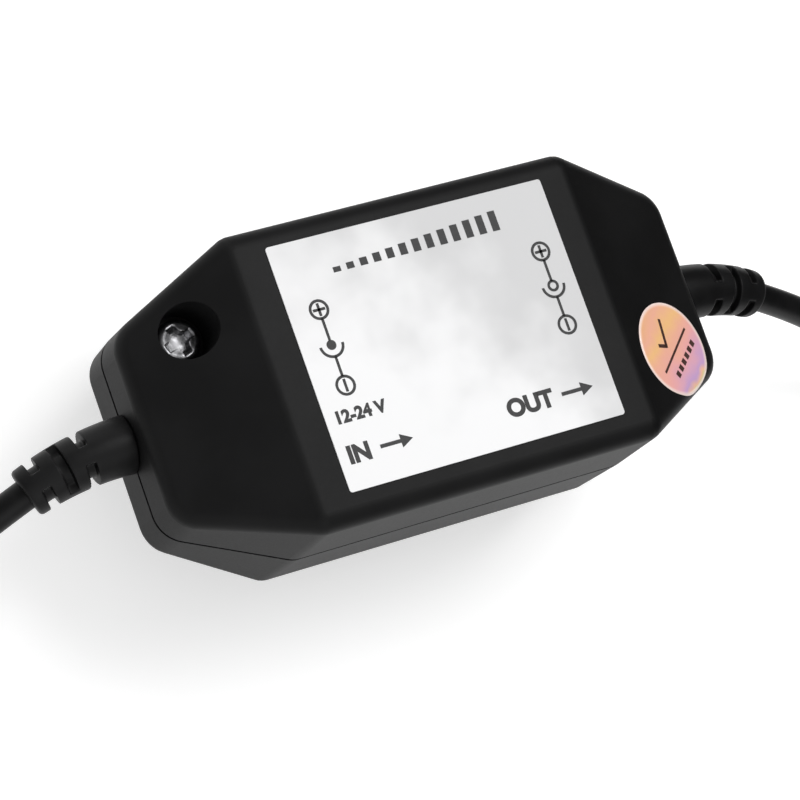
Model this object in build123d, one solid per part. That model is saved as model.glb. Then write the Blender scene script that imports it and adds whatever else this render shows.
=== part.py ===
from build123d import *
import os
from math import atan2, cos, radians, sin, tan
from typing import NamedTuple

# In-line LED dimmer, label side up, standing on the face of its knob.
# Millimetres. X runs from the input end to the output end, Z up, floor at Z 0.

# Case: two shells of one form, meeting at the parting plane
case_length = 80.0
case_width = 40.2
plateau_length = 48.0
end_width = 25.2
shell_depth = 14.6
end_depth = 7.1
wall = 2.0
draft_angle = 1.15
end_corner_radius = 4.5
side_corner_radius = 3.4
rim_radius = 2.3
ridge_radius = 3.0
lip_height = 1.4
lip_clearance = 0.1
groove_height = 0.5
groove_depth = 0.45

# Case screws, in wells at two diagonally opposite corners
screw_from_end = 8.6
screw_from_middle = 9.8
screw_recess = 4.0
head_diameter = 5.8
head_height = 1.9
head_round = 1.1
screw_diameter = 2.6
screw_length = 11.0
screw_tip = 2.0
recess_length = 4.2
recess_width = 1.2
recess_depth = 1.4
recess_taper = 12.0
screw_turns = (20.0, 65.0)
well_diameter = 7.2
well_wall = 1.4
well_floor = 1.8
boss_diameter = 6.4
screw_clearance = 0.1

# Label on the plateau and sticker over the output screw
label_end_margin = 4.15
label_side_margin = 3.75
label_corner = 0.4
label_thickness = 0.15
label_shift = (0.2, 0.4)
sticker_diameter = 13.0
sticker_thickness = 0.1
sticker_shift = (0.6, 0.9)

# Strain reliefs, tapered and bent by the hanging leads
relief_diameter = 7.7
relief_tip_diameter = 6.6
relief_collar = 5.4
slot_width = 1.3
slot_pitch = 3.05
slot_count = 3
relief_end_rib = 1.7
relief_web = 2.4
relief_core = 4.8
relief_neck = 6.0
relief_flange = 10.0
relief_flange_thickness = 1.8
relief_edge = 0.6
relief_clearance = 0.1


class Relief(NamedTuple):
    """How a relief lies: its bend from wall to tip and the way that it droops, in degrees."""

    bend: float
    droop: float

    def radius(self):
        """Radius of the bent axis."""
        return relief_length / radians(self.bend)


input_relief = Relief(bend=26.0, droop=45.0)
output_relief = Relief(bend=30.0, droop=55.0)

# Leads and the moulded parts at their ends
cord_diameter = 4.0
first_run = 11.0
end_diameter = 10.0
tail_diameter = 6.4
tail_length = 8.0
tail_rings = 3
tail_ring_width = 1.0
tail_ring_depth = 0.6
end_edge = 0.8
grip_flute_count = 14
grip_flute_diameter = 1.2
grip_flute_depth = 0.35
grip_flute_margin = 2.5
socket_body_length = 18.0
socket_depth = 10.0
socket_bore = 5.6
socket_contact_wall = 0.35
socket_pin_diameter = 2.0
socket_pin_length = 8.5
socket_pin_round = 0.8
plug_grip_length = 14.0
plug_barrel_diameter = 5.5
plug_barrel_length = 9.5
plug_barrel_wall = 0.45
plug_insulator_wall = 0.8
plug_hole = 2.1
contact_clearance = 0.05

# Knob
knob_diameter = 24.0
knob_height = 11.0
knob_gap = 0.8
knob_face = 2.5
knob_skirt = 2.2
knob_edge = 1.2
hub_diameter = 10.0
hub_gap = 0.5
flute_count = 24
flute_diameter = 2.2
flute_depth = 0.55
pointer_length = 8.0
pointer_width = 1.4
pointer_depth = 0.8

# Potentiometer
shaft_diameter = 6.0
shaft_flat = 1.2
shaft_clearance = 0.05
bush_diameter = 7.0
bush_reach = 4.0
bush_clearance = 0.1
plate_thickness = 1.0
can_diameter = 16.5
can_height = 5.5
can_wall = 0.5
wafer_thickness = 1.2
wafer_tab_width = 10.0
wafer_tab_reach = 1.4
wafer_clearance = 0.15
rotor_diameter = 11.0
rotor_thickness = 1.6
rotor_gap = 0.3
terminal_width = 1.0
terminal_thickness = 0.4
terminal_pitch = 3.2
terminal_count = 3
terminal_foot = 1.2
terminal_end = 1.2
terminal_clearance = 0.1
nut_across_flats = 10.0
nut_thickness = 2.2
washer_diameter = 12.0
washer_thickness = 0.6

# Circuit board and its posts
board_side_gap = 2.1
board_overhang = 2.0
board_thickness = 1.6
board_corner = 1.5
post_inset = 4.0
post_diameter = 4.5
spigot_diameter = 2.0
spigot_clearance = 0.1

# Components, standing on the board
chip_length = 9.4
chip_width = 6.4
chip_height = 3.2
chip_standoff = 0.5
chip_notch = 1.6
chip_x = -2.0
leg_count = 4
leg_pitch = 2.3
leg_width = 0.6
leg_thickness = 0.3
leg_reach = 1.0
transistor_width = 10.0
transistor_tab_length = 15.5
transistor_tab_thickness = 1.3
transistor_hole = 3.7
transistor_body_length = 9.0
transistor_body_height = 3.0
transistor_body_chamfer = 0.6
transistor_leg_pitch = 2.5
transistor_leg_width = 0.8
transistor_leg_length = 4.0
transistor_from_end = 15.0
part_edge_gap = 1.5
part_gap = 0.8
capacitor_diameter = 8.0
capacitor_height = 9.0
capacitor_edge = 0.4
capacitor_groove = 0.4
capacitor_groove_height = 1.5
capacitor_from_end = 13.0
axial_lead = 0.6
axial_reach = 2.2
resistor_diameter = 2.3
resistor_length = 6.2
resistor_waist = 1.9
resistor_cap_length = 1.5
resistor_cap_round = 0.3
resistor_count = 3
resistor_pitch = 3.2
resistor_from_end = 8.5
resistor_row = 3.6
diode_diameter = 2.7
diode_length = 5.2
diode_from_end = 13.0
diode_row = 3.6
ceramic_diameter = 5.0
ceramic_thickness = 2.4
ceramic_round = 0.8
ceramic_stand = 1.2
ceramic_leg_spread = 1.2
ceramic_from_end = (8.0, 14.0)
ceramic_row = 9.5

# Wires from the reliefs to the board
wire_diameter = 1.6
wire_spread = 1.3
pad_inset = 2.5

# Places worked out from the sizes above
front_z = knob_height + knob_gap
parting_z = front_z + shell_depth
back_z = parting_z + shell_depth
inner_front_z = front_z + wall
wafer_z = inner_front_z + plate_thickness
board_z = wafer_z + can_height
board_top = board_z + board_thickness
slope_angle = atan2(shell_depth - end_depth, (case_length - plateau_length) / 2)
screw_x = case_length / 2 - screw_from_end
screw_places = [(-screw_x, screw_from_middle), (screw_x, -screw_from_middle)]
board_length = plateau_length + 2 * board_overhang
board_width = case_width - 2 * (wall + board_side_gap)
post_x = board_length / 2 - post_inset
post_y = board_width / 2 - post_inset
post_places = [(post_x, post_y), (-post_x, -post_y)]
terminal_y = -(can_diameter / 2 + wafer_tab_reach)
terminal_xs = [(i - (terminal_count - 1) / 2) * terminal_pitch for i in range(terminal_count)]
transistor_x = board_length / 2 - transistor_from_end
transistor_y = board_width / 2 - part_edge_gap - transistor_width / 2
transistor_left = transistor_x - transistor_tab_length / 2
chip_y = transistor_y - transistor_width / 2 - part_gap - leg_reach - chip_width / 2
relief_length = relief_collar + (slot_count - 1) * slot_pitch + slot_width + relief_end_rib

BOTTOM = (Align.CENTER, Align.CENTER, Align.MIN)


def slope_height(x):
    """Height of an end slope over the parting plane at distance x from the middle."""
    return end_depth + (case_length / 2 - x) * tan(slope_angle)


head_top = slope_height(screw_x) - screw_recess
seat_z = head_top - head_height
well_bottom = seat_z - well_floor


def rod(diameter, length, x=0.0, y=0.0, z=0.0):
    """Upright cylinder standing at (x, y, z)."""
    return Pos(x, y, z) * Cylinder(diameter / 2, length, align=BOTTOM)


def ring(outer, inner, length, z=0.0):
    """Upright tube standing at height z on the Z axis."""
    return rod(outer, length, z=z) - rod(inner, length, z=z)


# Case shells, drawn with the parting plane at Z 0 and the shell growing upwards


def plan_outline(inset=0.0):
    """Eight-sided plan at the parting plane, with rounded corners, drawn in by inset."""
    quarter = [(case_length / 2, end_width / 2), (plateau_length / 2, case_width / 2)]
    upper = quarter + [(-x, y) for x, y in reversed(quarter)]
    corners = upper + [(-x, -y) for x, y in upper]
    radii = [end_corner_radius, side_corner_radius, side_corner_radius, end_corner_radius] * 2
    outline = make_face(FilletPolyline(*corners, radius=radii, close=True))
    return offset(outline, -inset) if inset else outline


def side_profile(inset=0.0):
    """Side view: plateau and two end slopes, lowered by inset."""
    top = shell_depth - inset
    ridge = plateau_length / 2 - inset * tan(slope_angle / 2)
    reach = case_length
    low = top - (reach - ridge) * tan(slope_angle)
    corners = [(ridge, top), (reach, low), (-reach, low), (-ridge, top)]
    return Plane.XZ * make_face(Polyline(*corners, close=True))


def shell_form(inset=0.0):
    """Drafted block with sloped ends, sharp along its top."""
    block = extrude(plan_outline(inset), shell_depth, taper=draft_angle)
    return block & extrude(side_profile(inset), case_width, both=True)


def rounded_form():
    """Outer form of a shell: soft ridges beside the plateau and a rounded rim all round."""
    form = shell_form()
    form = fillet(form.edges().filter_by(Axis.Y).group_by(Axis.Z)[-1], ridge_radius)
    top_edges = form.faces().filter_by(lambda face: face.normal_at().Z > 0.5).edges()
    rim = [edge for edge in top_edges if sum(edge.is_same(other) for other in top_edges) == 1]
    return fillet(rim, rim_radius)


def relief_holes():
    """Round holes through both short ends, for the necks of the strain reliefs."""
    hole = Cylinder(relief_neck / 2 + relief_clearance, 2 * case_length, rotation=(0, 90, 0))
    core = Box(case_length - 4 * wall, case_width, case_width)
    return hole - core


def back_cover():
    """Label-side shell with two screw wells."""
    outer = rounded_form()
    shell = outer - shell_form(wall)
    for x, y in screw_places:
        shell += rod(well_diameter + 2 * well_wall, shell_depth - well_bottom, x, y, well_bottom) & outer
    for x, y in screw_places:
        shell -= rod(well_diameter, shell_depth, x, y, seat_z)
        shell -= rod(screw_diameter + 2 * screw_clearance, shell_depth, x, y)
    shell -= extrude(plan_outline(wall / 2), lip_height + lip_clearance)
    shell -= extrude(plan_outline(-wall) - plan_outline(groove_depth), groove_height)
    return Pos(0, 0, parting_z) * (shell - relief_holes())


def front_case():
    """Knob-side shell with lip, screw bosses, board posts and the hole for the bush."""
    outer = rounded_form()
    shell = outer - shell_form(wall)
    shell += extrude(plan_outline(wall / 2 + lip_clearance) - plan_outline(wall), -lip_height)
    board_depth = parting_z - board_z
    for x, y in screw_places:
        shell += rod(boss_diameter, shell_depth, x, y) & outer
        shell += rod(boss_diameter, well_bottom, x, y, -well_bottom)
    for x, y in post_places:
        shell += rod(post_diameter, shell_depth, x, y, board_depth) & outer
        shell += rod(spigot_diameter, board_thickness, x, y, board_depth - board_thickness)
    pilot_depth = screw_length - well_floor + screw_clearance
    for x, y in screw_places:
        shell -= rod(screw_diameter + screw_clearance, pilot_depth, x, y, -well_bottom)
    shell -= rod(bush_diameter + 2 * bush_clearance, 2 * shell_depth)
    shell -= relief_holes()
    return Pos(0, 0, parting_z) * mirror(shell, about=Plane.XY)


# Screws, label and sticker


def case_screw():
    """Pan-head screw with a cross recess, its seat at Z 0 and its point down."""
    head = fillet(rod(head_diameter, head_height).edges().group_by(Axis.Z)[-1], head_round)
    shank = rod(screw_diameter, screw_length - screw_tip, z=screw_tip - screw_length)
    point = Pos(0, 0, screw_tip / 2 - screw_length) * Cone(
        screw_diameter / 8, screw_diameter / 2, screw_tip
    )
    cross = Rectangle(recess_length, recess_width) + Rectangle(recess_width, recess_length)
    recess = Pos(0, 0, head_height) * extrude(cross, -recess_depth, taper=recess_taper)
    return head + shank + point - recess


def case_screws():
    """Both case screws, seated in their wells."""
    screw = case_screw()
    places = zip(screw_places, screw_turns)
    return [Pos(x, y, parting_z + seat_z) * Rot(0, 0, turn) * screw for (x, y), turn in places]


def rating_label():
    """Silver label on the plateau."""
    length = plateau_length - 2 * label_end_margin
    width = case_width - 2 * label_side_margin
    sheet = extrude(RectangleRounded(length, width, label_corner), label_thickness)
    return Pos(*label_shift, back_z) * sheet


def inspection_sticker():
    """Round sticker on the output slope, over the second screw's well."""
    x = screw_x + sticker_shift[0]
    y = -screw_from_middle + sticker_shift[1]
    place = (x, y, parting_z + slope_height(x))
    outward = (sin(slope_angle), 0, cos(slope_angle))
    return Plane(place, x_dir=(0, 1, 0), z_dir=outward) * rod(sticker_diameter, sticker_thickness)


# Strain reliefs, drawn for the output end in a plane that holds the exit and the droop


def droop_plane(relief):
    """Plane at the output wall: X along the exit, Y the way the relief droops."""
    droop = radians(relief.droop)
    return Plane((case_length / 2, 0, parting_z), x_dir=(1, 0, 0), z_dir=(0, sin(droop), -cos(droop)))


def relief_station(relief, distance):
    """Location along the bent axis, its Z axis along the lead."""
    turn = distance / relief.radius()
    place = (relief.radius() * sin(turn), relief.radius() * (1 - cos(turn)), 0)
    return Location(Plane(place, x_dir=(0, 0, 1), z_dir=(cos(turn), sin(turn), 0)))


def slot_cutter(across):
    """Two slots on opposite sides of the core, turned by across degrees about the lead."""
    disc = ring(2 * relief_diameter, relief_core, slot_width, -slot_width / 2)
    return Rot(0, 0, across) * (disc - Box(relief_web, 3 * relief_diameter, 2 * slot_width))


def tapered_bend(relief):
    """Round body along the bent axis, thinner towards the lead, with a rounded tip."""
    ends = [(0, relief_diameter), (relief_length, relief_tip_diameter)]
    sections = [relief_station(relief, place) * Circle(diameter / 2) for place, diameter in ends]
    axis = Edge.make_circle(
        relief.radius(),
        Plane((0, relief.radius(), 0), x_dir=(0, -1, 0)),
        end_angle=relief.bend,
    )
    body = sweep(sections, path=axis, multisection=True)
    tip = body.faces().filter_by(GeomType.PLANE).sort_by(Axis.X)[-1]
    return fillet(tip.edges(), relief_edge)


def strain_relief(relief):
    """Flange and neck in the wall, smooth collar, then ribs between slots on alternate sides."""
    body = tapered_bend(relief)
    for index in range(slot_count):
        distance = relief_collar + slot_width / 2 + index * slot_pitch
        across = relief.droop + 90 * (index % 2)
        body -= relief_station(relief, distance) * slot_cutter(across)
    neck = Rot(0, -90, 0) * rod(relief_neck, wall + relief_flange_thickness)
    flange = Rot(0, -90, 0) * rod(relief_flange, relief_flange_thickness, z=wall + lip_clearance)
    return droop_plane(relief).location * (body + neck + flange)


# Leads


def relief_end(relief):
    """End of a relief's axis, as at the output end, and the direction of the lead there."""
    end = Plane(droop_plane(relief).location * relief_station(relief, relief_length))
    return end.origin, end.z_dir


def mirrored(point):
    """The same point at the input end."""
    return Vector(-point.X, point.Y, point.Z)


def lead_route(relief, places, side):
    """Points of a lead: relief end, first run, then places out from there with heights off the floor."""
    start, direction = relief_end(relief)
    if side < 0:
        start, direction = mirrored(start), mirrored(direction)
    points = [start, start + direction * first_run]
    return points + [Vector(start.X + side * x, start.Y + y, z) for x, y, z in places]


lying_height = end_diameter / 2
output_route = lead_route(
    output_relief,
    [
        (19.7, -8.9, lying_height + 7.4),
        (29.6, -12.6, lying_height + 2.4),
        (39.0, -10.8, lying_height + 0.2),
        (45.6, -3.6, lying_height),
        (47.4, 6.0, lying_height),
    ],
    side=1,
)
input_route = lead_route(
    input_relief,
    [
        (20.6, -8.4, lying_height + 8.2),
        (30.6, -12.4, lying_height + 3.0),
        (40.1, -11.0, lying_height + 0.3),
        (46.8, -4.0, lying_height),
        (48.9, 5.4, lying_height),
    ],
    side=-1,
)


def lead_path(points):
    """Straight runs joined by the largest tangent arcs that they leave room for."""
    runs = [b - a for a, b in zip(points, points[1:])]
    radii = []
    for before, after in zip(runs, runs[1:]):
        half_turn = radians(before.get_angle(after)) / 2
        radii.append(0.45 * min(before.length, after.length) / tan(half_turn))
    print("bend radii", [round(radius, 1) for radius in radii])
    return FilletPolyline(*points, radius=radii)


def swept_round(points, diameter):
    """Round lead or wire along its points."""
    path = lead_path(points)
    tube = sweep(Plane(path @ 0, z_dir=path % 0) * Circle(diameter / 2), path=path)
    straight = Circle(diameter / 2).area * path.length
    print("length", round(path.length, 1), "volume share", round(tube.volume / straight, 4))
    return tube


def lead_end(points):
    """Plane at the far end of a lead, its Z axis along the moulded end."""
    return Plane(points[-1], z_dir=points[-1] - points[-2])


def moulded_end(body_length):
    """Ringed tail and round body with grip flutes, moulded on the lead's end at Z 0."""
    tail = rod(tail_diameter, tail_length)
    step = tail_length / (tail_rings + 0.5)
    for index in range(tail_rings):
        tail -= ring(
            2 * tail_diameter,
            tail_diameter - 2 * tail_ring_depth,
            tail_ring_width,
            (index + 0.6) * step,
        )
    body = rod(end_diameter, body_length, z=tail_length)
    body = fillet(body.edges().filter_by(GeomType.CIRCLE), end_edge)
    reach = end_diameter / 2 - grip_flute_depth + grip_flute_diameter / 2
    flute_length = body_length - 2 * grip_flute_margin
    flute = rod(grip_flute_diameter, flute_length, x=reach, z=tail_length + grip_flute_margin)
    return tail + (body - PolarLocations(0, grip_flute_count) * flute)


def socket_pieces():
    """In-line socket: moulded shell, sleeve contact and centre pin."""
    length = tail_length + socket_body_length
    sleeve = socket_bore + 2 * socket_contact_wall
    floor = length - socket_depth
    shell = moulded_end(socket_body_length) - rod(sleeve + 2 * contact_clearance, socket_depth, z=floor)
    contact = ring(sleeve, socket_bore, socket_depth - end_edge, floor)
    pin = rod(socket_pin_diameter, socket_pin_length, z=floor)
    pin = fillet(pin.edges().group_by(Axis.Z)[-1], socket_pin_round)
    return shell, contact, pin


def plug_pieces():
    """In-line plug: moulded grip, barrel, insulator and inner contact."""
    face = tail_length + plug_grip_length
    grip = moulded_end(plug_grip_length)
    barrel_bore = plug_barrel_diameter - 2 * plug_barrel_wall
    insulator_bore = barrel_bore - 2 * plug_insulator_wall
    barrel = ring(plug_barrel_diameter, barrel_bore, plug_barrel_length, face)
    insulator = ring(barrel_bore - 2 * contact_clearance, insulator_bore, plug_barrel_length, face)
    inner = ring(insulator_bore - 2 * contact_clearance, plug_hole, plug_barrel_length - end_edge, face)
    return grip, barrel, insulator, inner


# Knob and control


def knob():
    """Fluted knob, open above, with a hub round the shaft; its face is on the floor."""
    body = rod(knob_diameter, knob_height)
    body = fillet(body.edges().group_by(Axis.Z)[0], knob_edge)
    hub_top = front_z - bush_reach - hub_gap
    body -= rod(knob_diameter - 2 * knob_skirt, knob_height, z=knob_face)
    body += rod(hub_diameter, hub_top - knob_face, z=knob_face)
    reach = knob_diameter / 2 - flute_depth + flute_diameter / 2
    flute = rod(flute_diameter, knob_height, x=reach, z=knob_edge)
    body -= PolarLocations(0, flute_count) * flute
    body -= shaft_stem(contact_clearance)
    return body - pointer_bar()


def shaft_stem(clearance=0.0):
    """Flatted end of the shaft that the knob sits on."""
    stem = rod(shaft_diameter + 2 * clearance, front_z, z=knob_face)
    flat = shaft_diameter / 2 - shaft_flat + clearance
    return stem - Pos(flat, 0, knob_face) * Box(
        shaft_diameter,
        2 * shaft_diameter,
        front_z - bush_reach - knob_face,
        align=(Align.MIN, Align.CENTER, Align.MIN),
    )


def pointer_bar():
    """Pale bar let into the knob's face, from near the edge inwards."""
    outer = knob_diameter / 2 - knob_edge
    bar = SlotOverall(pointer_length, pointer_width)
    return Pos(0, outer - pointer_length / 2, 0) * extrude(Rot(0, 0, 90) * bar, pointer_depth)


def potentiometer_shaft():
    """Shaft with its rotor, turning in the bush."""
    rotor_z = wafer_z + wafer_thickness + rotor_gap
    top = rod(shaft_diameter, rotor_z - front_z, z=front_z)
    return shaft_stem() + top + rod(rotor_diameter, rotor_thickness, z=rotor_z)


def potentiometer_bush():
    """Mounting plate inside the case and the bush through its wall."""
    plate = rod(can_diameter, plate_thickness, z=inner_front_z)
    bush = rod(bush_diameter, bush_reach + wall, z=front_z - bush_reach)
    return plate + bush - rod(shaft_diameter + 2 * shaft_clearance, back_z)


def wafer_tab(width, depth, z):
    """Tongue of the wafer that reaches out of the can towards the terminals."""
    reach = can_diameter / 2 + wafer_tab_reach
    return Pos(0, 0, z) * Box(width, reach, depth, align=(Align.CENTER, Align.MAX, Align.MIN))


def potentiometer_can():
    """Drawn metal cup over the wafer and the rotor, notched for the wafer's tongue."""
    cup = rod(can_diameter, can_height, z=wafer_z)
    cup -= rod(can_diameter - 2 * can_wall, can_height - can_wall, z=wafer_z)
    notch_width = wafer_tab_width + 2 * wafer_clearance
    return cup - wafer_tab(notch_width, wafer_thickness + wafer_clearance, wafer_z)


def potentiometer_wafer():
    """Track wafer on the plate, with a tongue for the terminals."""
    disc_diameter = can_diameter - 2 * (can_wall + wafer_clearance)
    wafer = rod(disc_diameter, wafer_thickness, z=wafer_z)
    wafer += wafer_tab(wafer_tab_width, wafer_thickness, wafer_z)
    return wafer - rod(shaft_diameter + 2 * rotor_gap, back_z)


def potentiometer_terminals():
    """Three L-shaped terminals, from the tongue up through the board."""
    foot_z = wafer_z + wafer_thickness
    outline = [
        (terminal_y + terminal_foot, foot_z),
        (terminal_y + terminal_foot, foot_z + terminal_thickness),
        (terminal_y, foot_z + terminal_thickness),
        (terminal_y, board_top + terminal_end),
        (terminal_y - terminal_thickness, board_top + terminal_end),
        (terminal_y - terminal_thickness, foot_z),
    ]
    profile = Plane.YZ * make_face(Polyline(*outline, close=True))
    terminal = extrude(profile, terminal_width / 2, both=True)
    return [Pos(x, 0, 0) * terminal for x in terminal_xs]


def potentiometer_washer():
    """Washer between the case and the nut."""
    bore = bush_diameter + 2 * bush_clearance
    return ring(washer_diameter, bore, washer_thickness, front_z - washer_thickness)


def potentiometer_nut():
    """Hexagon nut that clamps the control to the case."""
    hexagon = RegularPolygon(nut_across_flats / 2, 6, major_radius=False)
    bottom = front_z - washer_thickness - nut_thickness
    nut = Pos(0, 0, bottom) * extrude(hexagon, nut_thickness)
    return nut - rod(bush_diameter + 2 * contact_clearance, front_z)


# Circuit


def circuit_board():
    """Board on the control and its posts, slotted for the terminals."""
    outline = RectangleRounded(board_length, board_width, board_corner)
    board = Pos(0, 0, board_z) * extrude(outline, board_thickness)
    for x, y in post_places:
        board -= rod(spigot_diameter + 2 * spigot_clearance, board_thickness, x, y, board_z)
    slot = Box(
        terminal_width + 2 * terminal_clearance,
        terminal_thickness + 2 * terminal_clearance,
        4 * board_thickness,
    )
    for x in terminal_xs:
        board -= Pos(x, terminal_y - terminal_thickness / 2, board_z) * slot
    return board


def timer_chip():
    """Dual-row timer chip with an index notch."""
    block = Box(chip_length, chip_width, chip_height, align=BOTTOM)
    notch = rod(chip_notch, chip_height, x=-chip_length / 2, z=chip_height - chip_notch / 2)
    return Pos(chip_x, chip_y, board_top + chip_standoff) * (block - notch)


def timer_chip_legs():
    """Two rows of bent legs that stand on the board."""
    shoulder = board_top + chip_standoff + chip_height / 2
    side = chip_width / 2
    outline = [
        (side, shoulder),
        (side, shoulder - leg_thickness),
        (side + leg_reach - leg_thickness, shoulder - leg_thickness),
        (side + leg_reach - leg_thickness, board_top),
        (side + leg_reach, board_top),
        (side + leg_reach, shoulder),
    ]
    leg = extrude(Plane.YZ * make_face(Polyline(*outline, close=True)), leg_width / 2, both=True)
    places = GridLocations(leg_pitch, 0, leg_count, 1)
    rows = [Pos(chip_x, chip_y, 0) * Rot(0, 0, turn) for turn in (0, 180)]
    return [row * place * leg for row in rows for place in places]


def transistor_tab():
    """Cooling tab of the power transistor, flat on the board."""
    tab = Pos(transistor_x, transistor_y, board_top) * Box(
        transistor_tab_length, transistor_width, transistor_tab_thickness, align=BOTTOM
    )
    hole_x = transistor_x + transistor_tab_length / 2 - transistor_hole
    return tab - rod(transistor_hole, back_z, hole_x, transistor_y)


def transistor_body():
    """Moulded body on the inner end of the tab."""
    block = Pos(transistor_left, transistor_y, board_top + transistor_tab_thickness) * Box(
        transistor_body_length,
        transistor_width,
        transistor_body_height,
        align=(Align.MIN, Align.CENTER, Align.MIN),
    )
    return chamfer(block.edges().filter_by(Axis.Y).group_by(Axis.Z)[-1], transistor_body_chamfer)


def transistor_legs():
    """Three legs from the body, bent down to the board."""
    shoulder = board_top + transistor_tab_thickness + transistor_body_height / 2
    drop = transistor_left - transistor_leg_length
    outline = [
        (transistor_left, shoulder),
        (drop, shoulder),
        (drop, board_top),
        (drop + leg_thickness, board_top),
        (drop + leg_thickness, shoulder - leg_thickness),
        (transistor_left, shoulder - leg_thickness),
    ]
    leg = extrude(Plane.XZ * make_face(Polyline(*outline, close=True)), transistor_leg_width / 2, both=True)
    return [Pos(0, transistor_y + i * transistor_leg_pitch, 0) * leg for i in (-1, 0, 1)]


def input_capacitor():
    """Standing electrolytic can with a crimp groove near its foot."""
    x = capacitor_from_end - board_length / 2
    y = board_width / 2 - part_edge_gap - capacitor_diameter / 2
    can = rod(capacitor_diameter, capacitor_height)
    can = fillet(can.edges().filter_by(GeomType.CIRCLE), capacitor_edge)
    groove = Pos(0, 0, capacitor_groove_height) * Torus(capacitor_diameter / 2, capacitor_groove)
    return Pos(x, y, board_top) * (can - groove)


def axial_part(body, length):
    """Lying part with a bent lead at each end, its axis over the board at the origin."""
    lift = body.bounding_box().size.Z / 2 + chip_standoff
    foot_x = length / 2 + axial_reach
    points = [Vector(length / 2 - axial_lead, 0, lift), Vector(foot_x, 0, lift), Vector(foot_x, 0, 0)]
    path = FilletPolyline(*points, radius=axial_lead)
    lead = sweep(Plane(path @ 0, z_dir=path % 0) * Circle(axial_lead / 2), path=path)
    return Pos(0, 0, lift) * body + lead + mirror(lead, about=Plane.YZ)


def resistors():
    """Row of axial resistors with swollen ends."""
    waist = Rot(0, 90, 0) * Cylinder(resistor_waist / 2, resistor_length)
    cap = Cylinder(resistor_diameter / 2, resistor_cap_length)
    cap = fillet(cap.edges().filter_by(GeomType.CIRCLE), resistor_cap_round)
    shift = (resistor_length - resistor_cap_length) / 2
    body = waist + [Pos(x, 0, 0) * Rot(0, 90, 0) * cap for x in (-shift, shift)]
    resistor = axial_part(body, resistor_length)
    x = resistor_from_end - board_length / 2
    rows = [-resistor_row - i * resistor_pitch for i in range(resistor_count)]
    return [Pos(x, y, board_top) * resistor for y in rows]


def flyback_diode():
    """Axial diode."""
    body = Rot(0, 90, 0) * Cylinder(diode_diameter / 2, diode_length)
    return Pos(board_length / 2 - diode_from_end, -diode_row, board_top) * axial_part(body, diode_length)


def ceramic_capacitors():
    """Disc capacitors on two short legs."""
    disc = Pos(0, 0, ceramic_stand + ceramic_diameter / 2) * Rot(90, 0, 0) * Cylinder(
        ceramic_diameter / 2, ceramic_thickness
    )
    disc = fillet(disc.edges().filter_by(GeomType.CIRCLE), ceramic_round)
    spread = (-ceramic_leg_spread, ceramic_leg_spread)
    legs = [rod(axial_lead, ceramic_stand + ceramic_diameter / 2, x) for x in spread]
    return [Pos(board_length / 2 - x, -ceramic_row, board_top) * (disc + legs) for x in ceramic_from_end]


def lead_wires(side):
    """Two insulated wires from a relief's flange to the board."""
    flange_x = side * (case_length / 2 - wall - lip_clearance - relief_flange_thickness)
    pad_x = side * (board_length / 2 - pad_inset)
    wires = []
    for row in (-1, 1):
        points = [
            Vector(flange_x, row * wire_spread, parting_z),
            Vector(pad_x, row * wire_spread, parting_z),
            Vector(pad_x, row * wire_spread, board_top),
        ]
        wires.append(swept_round(points, wire_diameter))
    return wires


def build_nodes():
    """Every piece by its name."""
    socket = [lead_end(input_route).location * piece for piece in socket_pieces()]
    plug = [lead_end(output_route).location * piece for piece in plug_pieces()]
    return {
        "back_cover": back_cover(),
        "front_case": front_case(),
        "case_screws": case_screws(),
        "rating_label": rating_label(),
        "inspection_sticker": inspection_sticker(),
        "input_strain_relief": mirror(strain_relief(input_relief), about=Plane.YZ),
        "output_strain_relief": strain_relief(output_relief),
        "input_cord": swept_round(input_route, cord_diameter),
        "output_cord": swept_round(output_route, cord_diameter),
        "input_socket_shell": socket[0],
        "input_socket_contact": socket[1],
        "input_socket_pin": socket[2],
        "output_plug_grip": plug[0],
        "output_plug_barrel": plug[1],
        "output_plug_insulator": plug[2],
        "output_plug_inner_contact": plug[3],
        "knob": knob(),
        "knob_pointer": pointer_bar(),
        "potentiometer_shaft": potentiometer_shaft(),
        "potentiometer_bush": potentiometer_bush(),
        "potentiometer_can": potentiometer_can(),
        "potentiometer_wafer": potentiometer_wafer(),
        "potentiometer_terminals": potentiometer_terminals(),
        "potentiometer_washer": potentiometer_washer(),
        "potentiometer_nut": potentiometer_nut(),
        "circuit_board": circuit_board(),
        "timer_chip": timer_chip(),
        "timer_chip_legs": timer_chip_legs(),
        "transistor_tab": transistor_tab(),
        "transistor_body": transistor_body(),
        "transistor_legs": transistor_legs(),
        "input_capacitor": input_capacitor(),
        "resistors": resistors(),
        "flyback_diode": flyback_diode(),
        "ceramic_capacitors": ceramic_capacitors(),
        "input_wires": lead_wires(-1),
        "output_wires": lead_wires(1),
    }


os.makedirs("parts", exist_ok=True)
for name, piece in build_nodes().items():
    solids = piece if isinstance(piece, list) else [piece]
    node = Compound(children=[solid for one in solids for solid in one.solids()])
    export_step(node, f"parts/{name}.step")
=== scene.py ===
import logging
import math
from dataclasses import dataclass
from enum import Enum
from typing import Any, ClassVar, Optional, Sequence, Union

import bmesh
import bpy
from mathutils import Matrix, Vector
from mathutils.bvhtree import BVHTree


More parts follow.
